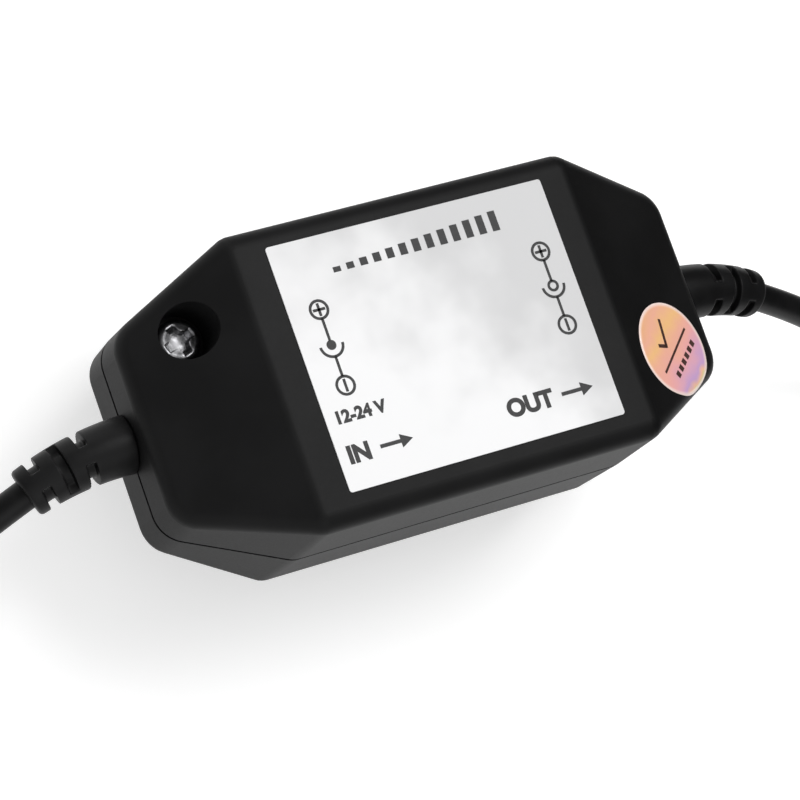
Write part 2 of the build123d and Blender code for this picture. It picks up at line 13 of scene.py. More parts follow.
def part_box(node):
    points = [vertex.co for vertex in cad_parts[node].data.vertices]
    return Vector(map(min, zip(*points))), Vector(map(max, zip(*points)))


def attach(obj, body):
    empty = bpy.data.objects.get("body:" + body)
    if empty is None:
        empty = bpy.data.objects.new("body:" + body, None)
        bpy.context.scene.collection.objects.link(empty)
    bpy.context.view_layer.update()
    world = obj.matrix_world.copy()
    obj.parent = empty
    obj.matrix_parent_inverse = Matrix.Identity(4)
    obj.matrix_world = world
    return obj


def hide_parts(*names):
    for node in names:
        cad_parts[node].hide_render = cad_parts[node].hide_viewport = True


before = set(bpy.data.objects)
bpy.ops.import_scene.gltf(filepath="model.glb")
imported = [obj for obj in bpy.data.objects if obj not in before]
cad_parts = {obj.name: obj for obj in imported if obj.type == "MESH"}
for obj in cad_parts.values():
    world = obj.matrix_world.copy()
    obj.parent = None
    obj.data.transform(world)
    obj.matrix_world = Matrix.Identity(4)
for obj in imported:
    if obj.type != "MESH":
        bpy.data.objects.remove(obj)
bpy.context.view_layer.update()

LOG = logging.getLogger("dimmer")
MM = 0.001
WELD_DISTANCE = 1e-7
CASE = "case"

Key = Union[str, int]
Point2 = tuple[float, float]
Point3 = tuple[float, float, float]
Colour = tuple[float, float, float]
Bands = tuple[tuple[float, Colour], ...]

BLACK: Colour = (0.0, 0.0, 0.0)
WHITE: Colour = (1.0, 1.0, 1.0)


class Ray(Enum):
    """Kinds of ray that show the background, by their Light Path output."""

    CAMERA = "Is Camera Ray"
    GLOSSY = "Is Glossy Ray"
    TRANSMISSION = "Is Transmission Ray"


class Contact(Enum):
    """Centre contact of a connector, as its polarity mark shows it."""

    PIN = "solid dot"
    SLEEVE = "open ring"


class FarEnd(Enum):
    """What a lead carries at its far end."""

    CONNECTOR = "connector"
    PLUG = "plug"


# Node trees


class Wire:
    """A node's output that takes part in Python arithmetic; each operation adds a Math node."""

    def __init__(self, graph: "Graph", socket: bpy.types.NodeSocket) -> None:
        """Keep the graph and the output socket."""
        self.graph = graph
        self.socket = socket

    def _math(self, operation: str, first: Any, second: Any = None) -> "Wire":
        """Add a Math node.

        Args:
            operation: the Math node's operation.
            first: first number or wire.
            second: second number or wire, if the operation takes one.

        Returns:
            The node's output.
        """
        values = [first] if second is None else [first, second]
        return self.graph.node("ShaderNodeMath", {"operation": operation}, dict(enumerate(values)))

    def __add__(self, other: Any) -> "Wire":
        """Sum."""
        return self._math("ADD", self, other)

    def __radd__(self, other: Any) -> "Wire":
        """Sum with the number first."""
        return self._math("ADD", other, self)

    def __sub__(self, other: Any) -> "Wire":
        """Difference."""
        return self._math("SUBTRACT", self, other)

    def __rsub__(self, other: Any) -> "Wire":
        """Difference with the number first."""
        return self._math("SUBTRACT", other, self)

    def __mul__(self, other: Any) -> "Wire":
        """Product."""
        return self._math("MULTIPLY", self, other)

    def __rmul__(self, other: Any) -> "Wire":
        """Product with the number first."""
        return self._math("MULTIPLY", other, self)

    def __truediv__(self, other: Any) -> "Wire":
        """Quotient."""
        return self._math("DIVIDE", self, other)

    def __rtruediv__(self, other: Any) -> "Wire":
        """Quotient with the number first."""
        return self._math("DIVIDE", other, self)

    def __lt__(self, other: Any) -> "Wire":
        """One where this is the smaller, else zero."""
        return self._math("LESS_THAN", self, other)

    def __gt__(self, other: Any) -> "Wire":
        """One where this is the larger, else zero."""
        return self._math("GREATER_THAN", self, other)

    def __abs__(self) -> "Wire":
        """Size without sign."""
        return self._math("ABSOLUTE", self)

    def max(self, other: Any) -> "Wire":
        """The larger of two values."""
        return self._math("MAXIMUM", self, other)

    def ramp(self, low: float, high: float) -> "Wire":
        """Smooth step from zero at low to one at high."""
        inputs = {"Value": self, "From Min": low, "From Max": high}
        return self.graph.node("ShaderNodeMapRange", {"interpolation_type": "SMOOTHSTEP"}, inputs)

    def blend(self, dark: Any, light: Any) -> "Wire":
        """Mix two colours by this value.

        Args:
            dark: colour or wire where this is zero.
            light: colour or wire where this is one.

        Returns:
            The mixed colour.
        """
        mix = self.graph.add("ShaderNodeMix", {"data_type": "RGBA"}, {"Factor": self})
        ends = [socket for socket in mix.inputs if socket.type == "RGBA"]
        for socket, colour in zip(ends, (dark, light)):
            self.graph.feed(socket, colour)
        return Wire(self.graph, next(socket for socket in mix.outputs if socket.type == "RGBA"))


class Graph:
    """A node tree under construction, for a material, the world or Geometry Nodes."""

    def __init__(self, tree: bpy.types.NodeTree) -> None:
        """Keep the tree, and the patterns that are laid in it."""
        self.tree = tree
        self.patterns: dict[Any, Wire] = {}

    def feed(self, socket: bpy.types.NodeSocket, value: Any) -> None:
        """Link a wire to an input, or set the input's own value.

        Args:
            socket: the input.
            value: a wire, a number, a vector, a colour or a data-block.
        """
        if isinstance(value, Wire):
            self.tree.links.new(value.socket, socket)
        elif socket.type == "RGBA":
            socket.default_value = (*value, 1.0)
        else:
            socket.default_value = value

    def fill(self, node: bpy.types.Node, inputs: dict[Key, Any]) -> None:
        """Link or set several inputs of a node, each by its name or number."""
        for key, value in inputs.items():
            self.feed(node.inputs[key], value)

    def add(self, kind: str, settings: Optional[dict[str, Any]] = None,
            inputs: Optional[dict[Key, Any]] = None) -> bpy.types.Node:
        """Add a node.

        Args:
            kind: the node's type.
            settings: its properties, set first; "stops" fills a colour ramp.
            inputs: values or wires by the input's name or number.

        Returns:
            The node.
        """
        node = self.tree.nodes.new(kind)
        for name, value in (settings or {}).items():
            if name == "stops":
                self._fill_ramp(node.color_ramp, value)
            else:
                setattr(node, name, value)
        self.fill(node, inputs or {})
        return node

    @staticmethod
    def _fill_ramp(ramp: bpy.types.ColorRamp, stops: Bands) -> None:
        """Give a colour ramp its stops.

        Args:
            ramp: a new node's ramp, with its two stops.
            stops: place and colour of each stop, in order.
        """
        ramp.elements.remove(ramp.elements[1])
        ramp.elements[0].position, first = stops[0]
        ramp.elements[0].color = (*first, 1.0)
        for place, colour in stops[1:]:
            ramp.elements.new(place).color = (*colour, 1.0)

    def node(self, kind: str, settings: Optional[dict[str, Any]] = None,
             inputs: Optional[dict[Key, Any]] = None, output: Key = 0) -> Wire:
        """Add a node and return one of its outputs.

        Args:
            kind: the node's type.
            settings: its properties.
            inputs: values or wires by the input's name or number.
            output: the output's name or number.

        Returns:
            That output as a wire.
        """
        return Wire(self, self.add(kind, settings, inputs).outputs[output])

    def place(self) -> Wire:
        """Object coordinates, in metres."""
        return self.node("ShaderNodeTexCoord", output="Object")

    def axes(self) -> tuple[Wire, Wire, Wire]:
        """Object coordinates X, Y and Z as separate values."""
        split = self.add("ShaderNodeSeparateXYZ", inputs={0: self.place()})
        return tuple(Wire(self, socket) for socket in split.outputs)

    def vector(self, x: Any = 0.0, y: Any = 0.0, z: Any = 0.0) -> Wire:
        """Vector from three numbers or wires."""
        return self.node("ShaderNodeCombineXYZ", inputs={0: x, 1: y, 2: z})

    def bump(self, height: Wire, depth: float) -> Wire:
        """Normal bent by a height that is worth depth metres at one."""
        inputs = {"Height": height, "Distance": depth, "Strength": 1.0}
        return self.node("ShaderNodeBump", inputs=inputs)

    def ray(self, kind: Ray) -> Wire:
        """One for light rays of a kind, else zero."""
        return self.node("ShaderNodeLightPath", output=kind.value)

    def seen(self) -> Wire:
        """One for rays that show the background, else zero."""
        camera, glossy, through = (self.ray(kind) for kind in Ray)
        return camera.max(glossy).max(through)


# Finishes


def scaled(colour: Colour, factor: float) -> Colour:
    """Colour made lighter or darker by a factor."""
    return tuple(factor * part for part in colour)


@dataclass(frozen=True)
class Noise:
    """Random pattern in object space, whose features are about size metres across."""

    MIDDLE: ClassVar[float] = 0.5

    size: float
    detail: float = 2.0
    roughness: float = 0.5

    def on(self, graph: Graph) -> Wire:
        """Lay the pattern on a surface, once in each material.

        Args:
            graph: the material's nodes.

        Returns:
            The pattern's value, from zero to one.
        """
        if self not in graph.patterns:
            inputs = {"Vector": graph.place(), "Scale": 1.0 / self.size,
                      "Detail": self.detail, "Roughness": self.roughness}
            graph.patterns[self] = graph.node("ShaderNodeTexNoise", inputs=inputs)
        return graph.patterns[self]


@dataclass(frozen=True)
class SparkGrain(Noise):
    """Grain of a spark-eroded mould."""

    detail: float = 3.0
    roughness: float = 0.6


@dataclass(frozen=True)
class Finish:
    """A material with a tint and two noises, named for what it covers.

    Each noise has its share in the unevenness of the gloss and in the height of the relief.
    """

    name: str
    roughness: float = 0.5
    coarse: Optional[Noise] = None
    fine: Optional[Noise] = None
    coarse_gloss: float = 0.0
    fine_gloss: float = 0.0
    coarse_height: float = 0.0
    fine_height: float = 1.0
    depth: float = 0.0
    specular: float = 0.5
    metallic: float = 0.0
    coat: float = 0.0

    def tint(self, graph: Graph) -> Any:
        """Colour of the surface; each finish has its own."""
        raise NotImplementedError

    def metal(self, graph: Graph) -> Any:
        """Share of bare metal in the surface."""
        return self.metallic

    def relief(self, graph: Graph) -> Wire:
        """Height of the surface, in depths."""
        return self.weigh(graph, 0.0, self.coarse_height, self.fine_height)

    def weigh(self, graph: Graph, level: float, coarse: float, fine: float) -> Any:
        """Add both noises to a level.

        Args:
            graph: the material's nodes.
            level: the level without them.
            coarse: share of the coarse noise, left out where it is zero.
            fine: share of the fine noise, left out where it is zero.

        Returns:
            The sum, which is the level itself where both are left out.
        """
        shares = ((self.coarse, coarse), (self.fine, fine))
        return sum((share * noise.on(graph) for noise, share in shares if share), level)

    def surface(self, graph: Graph) -> dict[str, Any]:
        """Work out the shader's inputs.

        Args:
            graph: the material's nodes.

        Returns:
            Values and wires by the shader input's name.
        """
        glossiest = self.roughness - Noise.MIDDLE * (self.coarse_gloss + self.fine_gloss)
        inputs = {
            "Base Color": self.tint(graph),
            "Roughness": self.weigh(graph, glossiest, self.coarse_gloss, self.fine_gloss),
            "Metallic": self.metal(graph),
            "Coat Weight": self.coat,
            "Specular IOR Level": self.specular,
        }
        if self.depth:
            inputs["Normal"] = graph.bump(self.relief(graph), self.depth)
        return inputs

    def material(self) -> bpy.types.Material:
        """Make the finish's material, once.

        Returns:
            The material.
        """
        found = bpy.data.materials.get(self.name)
        if found:
            return found
        material = bpy.data.materials.new(self.name)
        material.use_nodes = True
        graph = Graph(material.node_tree)
        graph.fill(material.node_tree.nodes["Principled BSDF"], self.surface(graph))
        return material


@dataclass(frozen=True)
class TwoTone(Finish):
    """Finish whose colour drifts between two tones with the coarse noise."""

    colour: Colour = BLACK
    drift: Point2 = (0.3, 0.7)

    def tones(self) -> tuple[Colour, Colour]:
        """The tones at the low and the high end; each finish has its own."""
        raise NotImplementedError

    def tint(self, graph: Graph) -> Wire:
        """Blend the tones by the coarse noise."""
        return self.coarse.on(graph).ramp(*self.drift).blend(*self.tones())


@dataclass(frozen=True)
class MouldedPlastic(TwoTone):
    """Moulded plastic with a spark-eroded grain and a faint mottle."""

    colour: Colour = (0.005, 0.005, 0.0052)
    darkest: float = 0.78
    lightest: float = 1.25
    coarse: Noise = Noise(9 * MM, 3.0)
    fine: Noise = SparkGrain(0.3 * MM)
    fine_gloss: float = 0.1
    depth: float = 0.008 * MM
    specular: float = 0.125

    def tones(self) -> tuple[Colour, Colour]:
        """The colour, darker and lighter."""
        return scaled(self.colour, self.darkest), scaled(self.colour, self.lightest)


@dataclass(frozen=True)
class SoftVinyl(TwoTone):
    """Soft vinyl of the leads and what is moulded on them, with slow ripples and dull patches."""

    colour: Colour = (0.004, 0.004, 0.0042)
    lightest: float = 1.6
    drift: Point2 = (0.35, 0.75)
    roughness: float = 0.36
    coarse: Noise = Noise(2.6 * MM)
    fine: Noise = Noise(2.6 * MM / 9)
    coarse_gloss: float = 0.1
    fine_gloss: float = 0.12
    coarse_height: float = 1.0
    fine_height: float = 0.15
    depth: float = 0.03 * MM
    specular: float = 0.14

    def tones(self) -> tuple[Colour, Colour]:
        """The colour, and lighter."""
        return self.colour, scaled(self.colour, self.lightest)


@dataclass(frozen=True)
class PrintInk(TwoTone):
    """Screen-printed ink that covers a little unevenly."""

    colour: Colour = (0.018, 0.018, 0.019)
    thin_cover: float = 0.02
    drift: Point2 = (0.3, 0.8)
    coarse: Noise = Noise(0.6 * MM, 3.0)
    coarse_gloss: float = 0.2
    specular: float = 0.3

    def tones(self) -> tuple[Colour, Colour]:
        """The full colour, and where its cover is thin."""
        return self.colour, tuple(part + self.thin_cover for part in self.colour)


@dataclass(frozen=True, kw_only=True)
class PlatedMetal(TwoTone):
    """Plated metal with fine scratches and dull spots."""

    dull: Colour
    drift: Point2 = (0.35, 0.65)
    coarse: Noise = Noise(0.9 * MM, 4.0)
    fine: Noise = Noise(0.12 * MM)
    fine_gloss: float = 0.12
    depth: float = 0.004 * MM
    metallic: float = 1.0

    def tones(self) -> tuple[Colour, Colour]:
        """The dull spots and the bright metal."""
        return self.dull, self.colour


@dataclass(frozen=True)
class LabelFoil(Finish):
    """Silver-white label stock: satin, with slow waves, and a colour that carries painted shade
    from corner to corner and faint clouds of painted reflection.
    """

    # Painted shade: the colour runs from the lit tone to the shaded tone across the label, as the
    # light falls on it.
    light: Colour = (0.83, 0.83, 0.835)
    shade: Colour = (0.58, 0.58, 0.585)
    span: float = 36 * MM
    painted_shade_sideways: float = 0.9
    # Painted reflection: soft clouds in the colour stand in for cloudy reflections on the film.
    cloud: Noise = Noise(12 * MM, 3.0)
    cloudiness: float = 1.7
    roughness: float = 0.36
    coarse: Noise = Noise(11 * MM, 1.0)
    fine: Noise = Noise(0.2 * MM)
    fine_gloss: float = 0.12
    coarse_height: float = 1.0
    fine_height: float = 0.01
    depth: float = 0.12 * MM
    specular: float = 0.2

    def tint(self, graph: Graph) -> Wire:
        """Paint shade on the label from corner to corner, broken up by clouds of painted
        reflection.

        Args:
            graph: the material's nodes.

        Returns:
            The colour.
        """
        x, y, _ = graph.axes()
        cloud = self.cloudiness * (self.cloud.on(graph) - Noise.MIDDLE)
        # Painted shade, lighter towards -X and -Y and darker towards +X and +Y, with painted
        # reflection clouds laid over it.
        painted_shade_and_reflection = 0.5 - (self.painted_shade_sideways * x + y) / self.span + cloud
        return painted_shade_and_reflection.ramp(0.0, 1.0).blend(self.shade, self.light)


@dataclass(frozen=True, kw_only=True)
class StickerFoil(Finish):
    """Round foil sticker that breaks light into pastel bands, paler at its cut edge."""

    centre: Point3
    radius: float
    edge: Colour = (0.9, 0.72, 0.66)
    edge_span: Point2 = (0.9, 0.99)
    run: Point2 = (0.6, -0.8)
    cloudiness: float = 0.34
    bands: Bands = (
        (0.0, (0.78, 0.42, 0.20)),
        (0.16, (0.80, 0.40, 0.28)),
        (0.32, (0.82, 0.48, 0.20)),
        (0.46, (0.80, 0.40, 0.28)),
        (0.62, (0.78, 0.37, 0.35)),
        (0.76, (0.66, 0.35, 0.46)),
        (0.86, (0.52, 0.32, 0.56)),
        (0.92, (0.80, 0.46, 0.30)),
        (0.98, (0.42, 0.68, 0.18)),
    )
    roughness: float = 0.41
    coarse: Noise = Noise(4.2 * MM)
    fine: Noise = Noise(0.25 * MM)
    fine_gloss: float = 0.14
    coarse_height: float = 1.0
    fine_height: float = 0.03
    depth: float = 0.02 * MM
    coat: float = 0.2

    def tint(self, graph: Graph) -> Wire:
        """Run pastel bands across the disc, softly broken up, inside the pale edge.

        Args:
            graph: the material's nodes.

        Returns:
            The colour.
        """
        x, y, _ = graph.axes()
        along = (x - self.centre[0]) * self.run[0] + (y - self.centre[1]) * self.run[1]
        cloud = self.cloudiness * (self.coarse.on(graph) - Noise.MIDDLE)
        band = along / (2 * self.radius) + 0.5 + cloud
        colour = graph.node("ShaderNodeValToRGB", {"stops": self.bands}, {0: band})
        ends = {0: graph.place(), 1: self.centre}
        reach = graph.node("ShaderNodeVectorMath", {"operation": "DISTANCE"}, ends, "Value")
        return (reach / self.radius).ramp(*self.edge_span).blend(colour, self.edge)


@dataclass(frozen=True)
class BoardMask(Finish):
    """Green solder mask over copper tracks, which show as raised, paler runs."""

    mask: Colour = (0.01, 0.09, 0.03)
    track: Colour = (0.02, 0.16, 0.05)
    track_pitch: float = 6 * MM
    track_span: Point2 = (0.35, 0.45)
    roughness: float = 0.35
    fine: Noise = Noise(0.4 * MM)
    fine_gloss: float = 0.1
    depth: float = 0.03 * MM

    def relief(self, graph: Graph) -> Wire:
        """Mark the tracks.

        Args:
            graph: the material's nodes.

        Returns:
            One on a track, zero beside it.
        """
        settings = {"distance": "MANHATTAN", "feature": "F1"}
        inputs = {"Vector": graph.place(), "Scale": 1 / self.track_pitch}
        cells = graph.node("ShaderNodeTexVoronoi", settings, inputs, "Distance")
        return cells.ramp(*self.track_span)

    def tint(self, graph: Graph) -> Wire:
        """Paler on the tracks."""
        return self.relief(graph).blend(self.mask, self.track)


@dataclass(frozen=True, kw_only=True)
class BandedLacquer(Finish):
    """Lacquered component with painted bands across X and tinned leads past its body."""

    colour: Colour
    bands: Bands
    lead_start: float
    middle: float
    band_width: float = 0.5 * MM
    darkest: float = 0.75
    drift: Point2 = (0.3, 0.7)
    lead: Colour = (0.66, 0.65, 0.63)
    roughness: float = 0.43
    fine: Noise = Noise(0.5 * MM, 3.0)
    fine_gloss: float = 0.1

    def metal(self, graph: Graph) -> Wire:
        """Bare metal past the body."""
        return abs(graph.axes()[0] - self.middle) > self.lead_start

    def tint(self, graph: Graph) -> Wire:
        """Place the bands and the bare leads by distance from the middle.

        Args:
            graph: the material's nodes.

        Returns:
            The colour.
        """
        x = graph.axes()[0]
        speckle = self.fine.on(graph).ramp(*self.drift)
        colour = speckle.blend(scaled(self.colour, self.darkest), self.colour)
        for place, paint in self.bands:
            mask = abs(x - (self.middle + place)) < self.band_width / 2
            colour = mask.blend(colour, paint)
        return self.metal(graph).blend(colour, self.lead)


@dataclass(frozen=True)
class PairedInsulation(Finish):
    """Hazy insulation of a wire pair, one wire red and one black, told apart by Y."""

    red: Colour = (0.36, 0.012, 0.012)
    black: Colour = (0.012, 0.012, 0.012)
    roughness: float = 0.425
    fine: Noise = Noise(1.5 * MM)
    fine_gloss: float = 0.15
    depth: float = 0.02 * MM

    def tint(self, graph: Graph) -> Wire:
        """Colour by side."""
        return (graph.axes()[1] < 0.0).blend(self.black, self.red)


@dataclass(frozen=True)
class FloorWhite(Finish):
    """Matt white that also glows a little for the rays that show it, and keeps shadows."""

    colour: Colour = (0.8, 0.8, 0.8)
    glow: float = 0.42
    roughness: float = 0.9
    specular: float = 0.0

    def tint(self, graph: Graph) -> Colour:
        """One even white."""
        return self.colour

    def surface(self, graph: Graph) -> dict[str, Any]:
        """Add the glow to the shader's inputs."""
        glow = {"Emission Color": graph.seen().blend(BLACK, WHITE), "Emission Strength": self.glow}
        return super().surface(graph) | glow


CASE_PLASTIC = MouldedPlastic("case_black_plastic")
KNOB_PLASTIC = MouldedPlastic("knob_black_plastic", colour=(0.008, 0.008, 0.0083), roughness=0.4,
                              fine=SparkGrain(0.22 * MM), depth=0.004 * MM)
WAFER = MouldedPlastic("wafer_brown_laminate", colour=(0.2, 0.1, 0.045))
CHIP = MouldedPlastic("chip_black_epoxy", colour=(0.02, 0.02, 0.021), fine=SparkGrain(0.15 * MM))
BLUE_SLEEVE = MouldedPlastic("capacitor_blue_sleeve", colour=(0.012, 0.016, 0.05), roughness=0.28,
                             fine=SparkGrain(0.8 * MM), depth=0.004 * MM)
CERAMIC = MouldedPlastic("ceramic_orange_dip", colour=(0.5, 0.2, 0.03), roughness=0.4,
                         fine=SparkGrain(0.6 * MM), depth=0.01 * MM)
INSULATOR = MouldedPlastic("plug_black_insulator", colour=(0.02, 0.02, 0.02), roughness=0.45)
CARD_BLACK = MouldedPlastic("card_black", roughness=0.9, specular=0.0)
VINYL = SoftVinyl("lead_black_vinyl")
END_VINYL = SoftVinyl("lead_end_vinyl", colour=(0.0045, 0.0045, 0.0047), roughness=0.42,
                      coarse=Noise(3.4 * MM), fine=Noise(3.4 * MM / 9), depth=0.02 * MM)
# Label foil whose colour holds painted shade and painted reflections.
FOIL = LabelFoil("label_silver_foil_painted_shade")
INK = PrintInk("label_grey_ink")
STICKER_INK = PrintInk("sticker_brown_ink", colour=(0.05, 0.018, 0.012))
DIAL_INK = PrintInk("dial_white_ink", colour=(0.72, 0.72, 0.7))
POINTER_PAINT = PrintInk("pointer_white_paint", colour=(0.78, 0.78, 0.76), roughness=0.4)
ZINC = PlatedMetal("screw_zinc", colour=(0.34, 0.34, 0.35), dull=(0.15, 0.15, 0.155),
                   roughness=0.3)
NICKEL = PlatedMetal("contact_nickel", colour=(0.74, 0.72, 0.68), dull=(0.58, 0.56, 0.52),
                     roughness=0.22)
BRASS = PlatedMetal("inner_contact_brass", colour=(0.72, 0.53, 0.24), dull=(0.5, 0.35, 0.14),
                    roughness=0.3)
TINNED = PlatedMetal("tinned_leads", colour=(0.66, 0.65, 0.63), dull=(0.5, 0.5, 0.48),
                     roughness=0.36)
GREEN_MASK = BoardMask("board_green_mask")
WIRE_PAIR = PairedInsulation("wire_pair_insulation")
FLOOR_WHITE = FloorWhite("floor_white")


# Meshes


def placed(name: str, data: bpy.types.ID) -> bpy.types.Object:
    """Put a new object into the scene.

    Args:
        name: the object's name.
        data: its mesh, curve, lamp or camera.

    Returns:
        The object.
    """
    item = bpy.data.objects.new(name, data)
    bpy.context.scene.collection.objects.link(item)
    return item


def new_piece(name: str, mesh: bpy.types.Mesh, finish: Finish) -> bpy.types.Object:
    """Put a finished mesh into the scene and let it ride on the case.

    Args:
        name: the piece's name.
        mesh: its mesh, already in place.
        finish: its material.

    Returns:
        The piece.
    """
    piece = placed(name, mesh)
    mesh.materials.clear()
    mesh.materials.append(finish.material())
    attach(piece, CASE)
    LOG.info("%s rides on %s", name, CASE)
    return piece


def dress(finishes: dict[str, Finish]) -> None:
    """Give each carried-over CAD node its finish.

    Args:
        finishes: finish by the node's name.
    """
    for node, finish in finishes.items():
        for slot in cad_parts[node].material_slots:
            slot.material = finish.material()
        LOG.info("%s dressed in %s", node, finish.name)


def plain_mesh(holder: bpy.types.Object) -> bpy.types.Mesh:
    """Take the mesh that an object's modifiers leave, and remove the object.

    Args:
        holder: an object made only to be evaluated.

    Returns:
        The plain mesh.
    """
    graph = bpy.context.evaluated_depsgraph_get()
    mesh = bpy.data.meshes.new_from_object(holder.evaluated_get(graph))
    holder.modifiers.clear()
    bpy.data.objects.remove(holder)
    return mesh


def closed_mesh(bm: bmesh.types.BMesh, name: str) -> bpy.types.Mesh:
    """Turn an edited mesh into a plain one.

    Args:
        bm: the edited mesh, freed here.
        name: the plain mesh's name.

    Returns:
        The plain mesh.
    """
    mesh = bpy.data.meshes.new(name)
    bm.to_mesh(mesh)
    bm.free()
    return mesh


def shade_smooth(mesh: bpy.types.Mesh) -> None:
    """Shade every face smooth."""
    mesh.polygons.foreach_set("use_smooth", [True] * len(mesh.polygons))


def round_faces(bm: bmesh.types.BMesh, middle: bmesh.types.BMVert,
                rows: Sequence[Sequence[bmesh.types.BMVert]]) -> None:
    """Add a fan round a middle corner and a band between each two rows.

    Args:
        bm: the mesh under construction.
        middle: the corner inside the first row.
        rows: closed rows of corners, from the inside out, all of one count.
    """
    count = len(rows[0])
    for k in range(count):
        j = (k + 1) % count
        bm.faces.new((middle, rows[0][k], rows[0][j]))
        for a, b in zip(rows, rows[1:]):
            bm.faces.new((a[k], b[k], b[j], a[j]))


class PrintSheet:
    """Thin printed shapes, drawn flat in millimetres and set on a surface."""

    ARC_STEP: ClassVar[float] = 7.5
    FEWEST_STEPS: ClassVar[int] = 8
    DISC_SIDES: ClassVar[int] = 32
    BOLDNESS: ClassVar[float] = 0.05
    HALF_DEPTH: ClassVar[float] = 0.5

    def __init__(self, thickness: float = 0.02 * MM) -> None:
        """Start an empty sheet."""
        self.thickness = thickness
        self.bm = bmesh.new()

    def prism(self, outline: Sequence[Point2]) -> None:
        """Add a filled outline.

        Args:
            outline: its corners in order.
        """
        low = [self.bm.verts.new((x * MM, y * MM, 0)) for x, y in outline]
        high = [self.bm.verts.new((x * MM, y * MM, self.thickness)) for x, y in outline]
        self.bm.faces.new(low[::-1])
        self.bm.faces.new(high)
        for i in range(len(low)):
            j = (i + 1) % len(low)
            self.bm.faces.new((low[i], low[j], high[j], high[i]))

    def bar(self, start: Point2, end: Point2, width: float) -> None:
        """Add a straight stroke.

        Args:
            start: middle of one end.
            end: middle of the other end.
            width: the stroke's width.
        """
        (ax, ay), (bx, by) = start, end
        half = width / 2 / math.hypot(bx - ax, by - ay)
        nx, ny = (ay - by) * half, (bx - ax) * half
        self.prism([(ax - nx, ay - ny), (bx - nx, by - ny), (bx + nx, by + ny), (ax + nx, ay + ny)])

    def arc(self, centre: Point2, radius: float, width: float,
            first: float = 0.0, last: float = 360.0) -> None:
        """Add a curved stroke.

        Args:
            centre: the arc's centre.
            radius: radius at the middle of the stroke.
            width: the stroke's width.
            first: start angle in degrees.
            last: end angle in degrees; a full turn closes the ring.
        """
        span = last - first
        steps = max(self.FEWEST_STEPS, int(span / self.ARC_STEP))
        whole = span >= 360.0
        rows = []
        for i in range(steps if whole else steps + 1):
            turn = math.radians(first + span * i / steps)
            row = []
            for reach in (radius - width / 2, radius + width / 2):
                x, y = centre[0] + reach * math.cos(turn), centre[1] + reach * math.sin(turn)
                row += [self.bm.verts.new((x * MM, y * MM, z)) for z in (0, self.thickness)]
            rows.append(row)
        pairs = list(zip(rows, rows[1:])) + ([(rows[-1], rows[0])] if whole else [])
        for a, b in pairs:
            for i, j in ((0, 1), (1, 3), (3, 2), (2, 0)):
                self.bm.faces.new((a[i], a[j], b[j], b[i]))
        if not whole:
            for row in (rows[0], rows[-1]):
                self.bm.faces.new((row[0], row[1], row[3], row[2]))

    def disc(self, centre: Point2, radius: float) -> None:
        """Add a filled circle.

        Args:
            centre: the circle's centre.
            radius: its radius.
        """
        x, y = centre
        turns = [2 * math.pi * i / self.DISC_SIDES for i in range(self.DISC_SIDES)]
        self.prism([(x + radius * math.cos(t), y + radius * math.sin(t)) for t in turns])

    def words(self, text: str, corner: Point2, height: float) -> None:
        """Add plain words.

        Args:
            text: the words.
            corner: lower left corner.
            height: height of the capitals.
        """
        curve = bpy.data.curves.new("words", "FONT")
        curve.body = text
        curve.offset = self.BOLDNESS
        curve.extrude = self.HALF_DEPTH
        mesh = plain_mesh(placed("words", curve))
        bpy.data.curves.remove(curve)
        low, high = (Vector([edge(v.co[i] for v in mesh.vertices) for i in range(3)])
                     for edge in (min, max))
        scale = height / (high.y - low.y) * MM
        size = Matrix.Diagonal((scale, scale, self.thickness, 1.0))
        place = Matrix.Translation((corner[0] * MM, corner[1] * MM, 0))
        mesh.transform(place @ size @ Matrix.Translation(-low))
        self.bm.from_mesh(mesh)
        bpy.data.meshes.remove(mesh)

    def mesh(self, name: str, place: Matrix) -> bpy.types.Mesh:
        """Finish the sheet.

        Args:
            name: the mesh's name.
            place: where the sheet's origin and axes go.

        Returns:
            The closed mesh, in place.
        """
        bmesh.ops.remove_doubles(self.bm, verts=self.bm.verts, dist=WELD_DISTANCE)
        bmesh.ops.recalc_face_normals(self.bm, faces=self.bm.faces)
        mesh = closed_mesh(self.bm, name)
        mesh.transform(place)
        return mesh


# Geometry Nodes


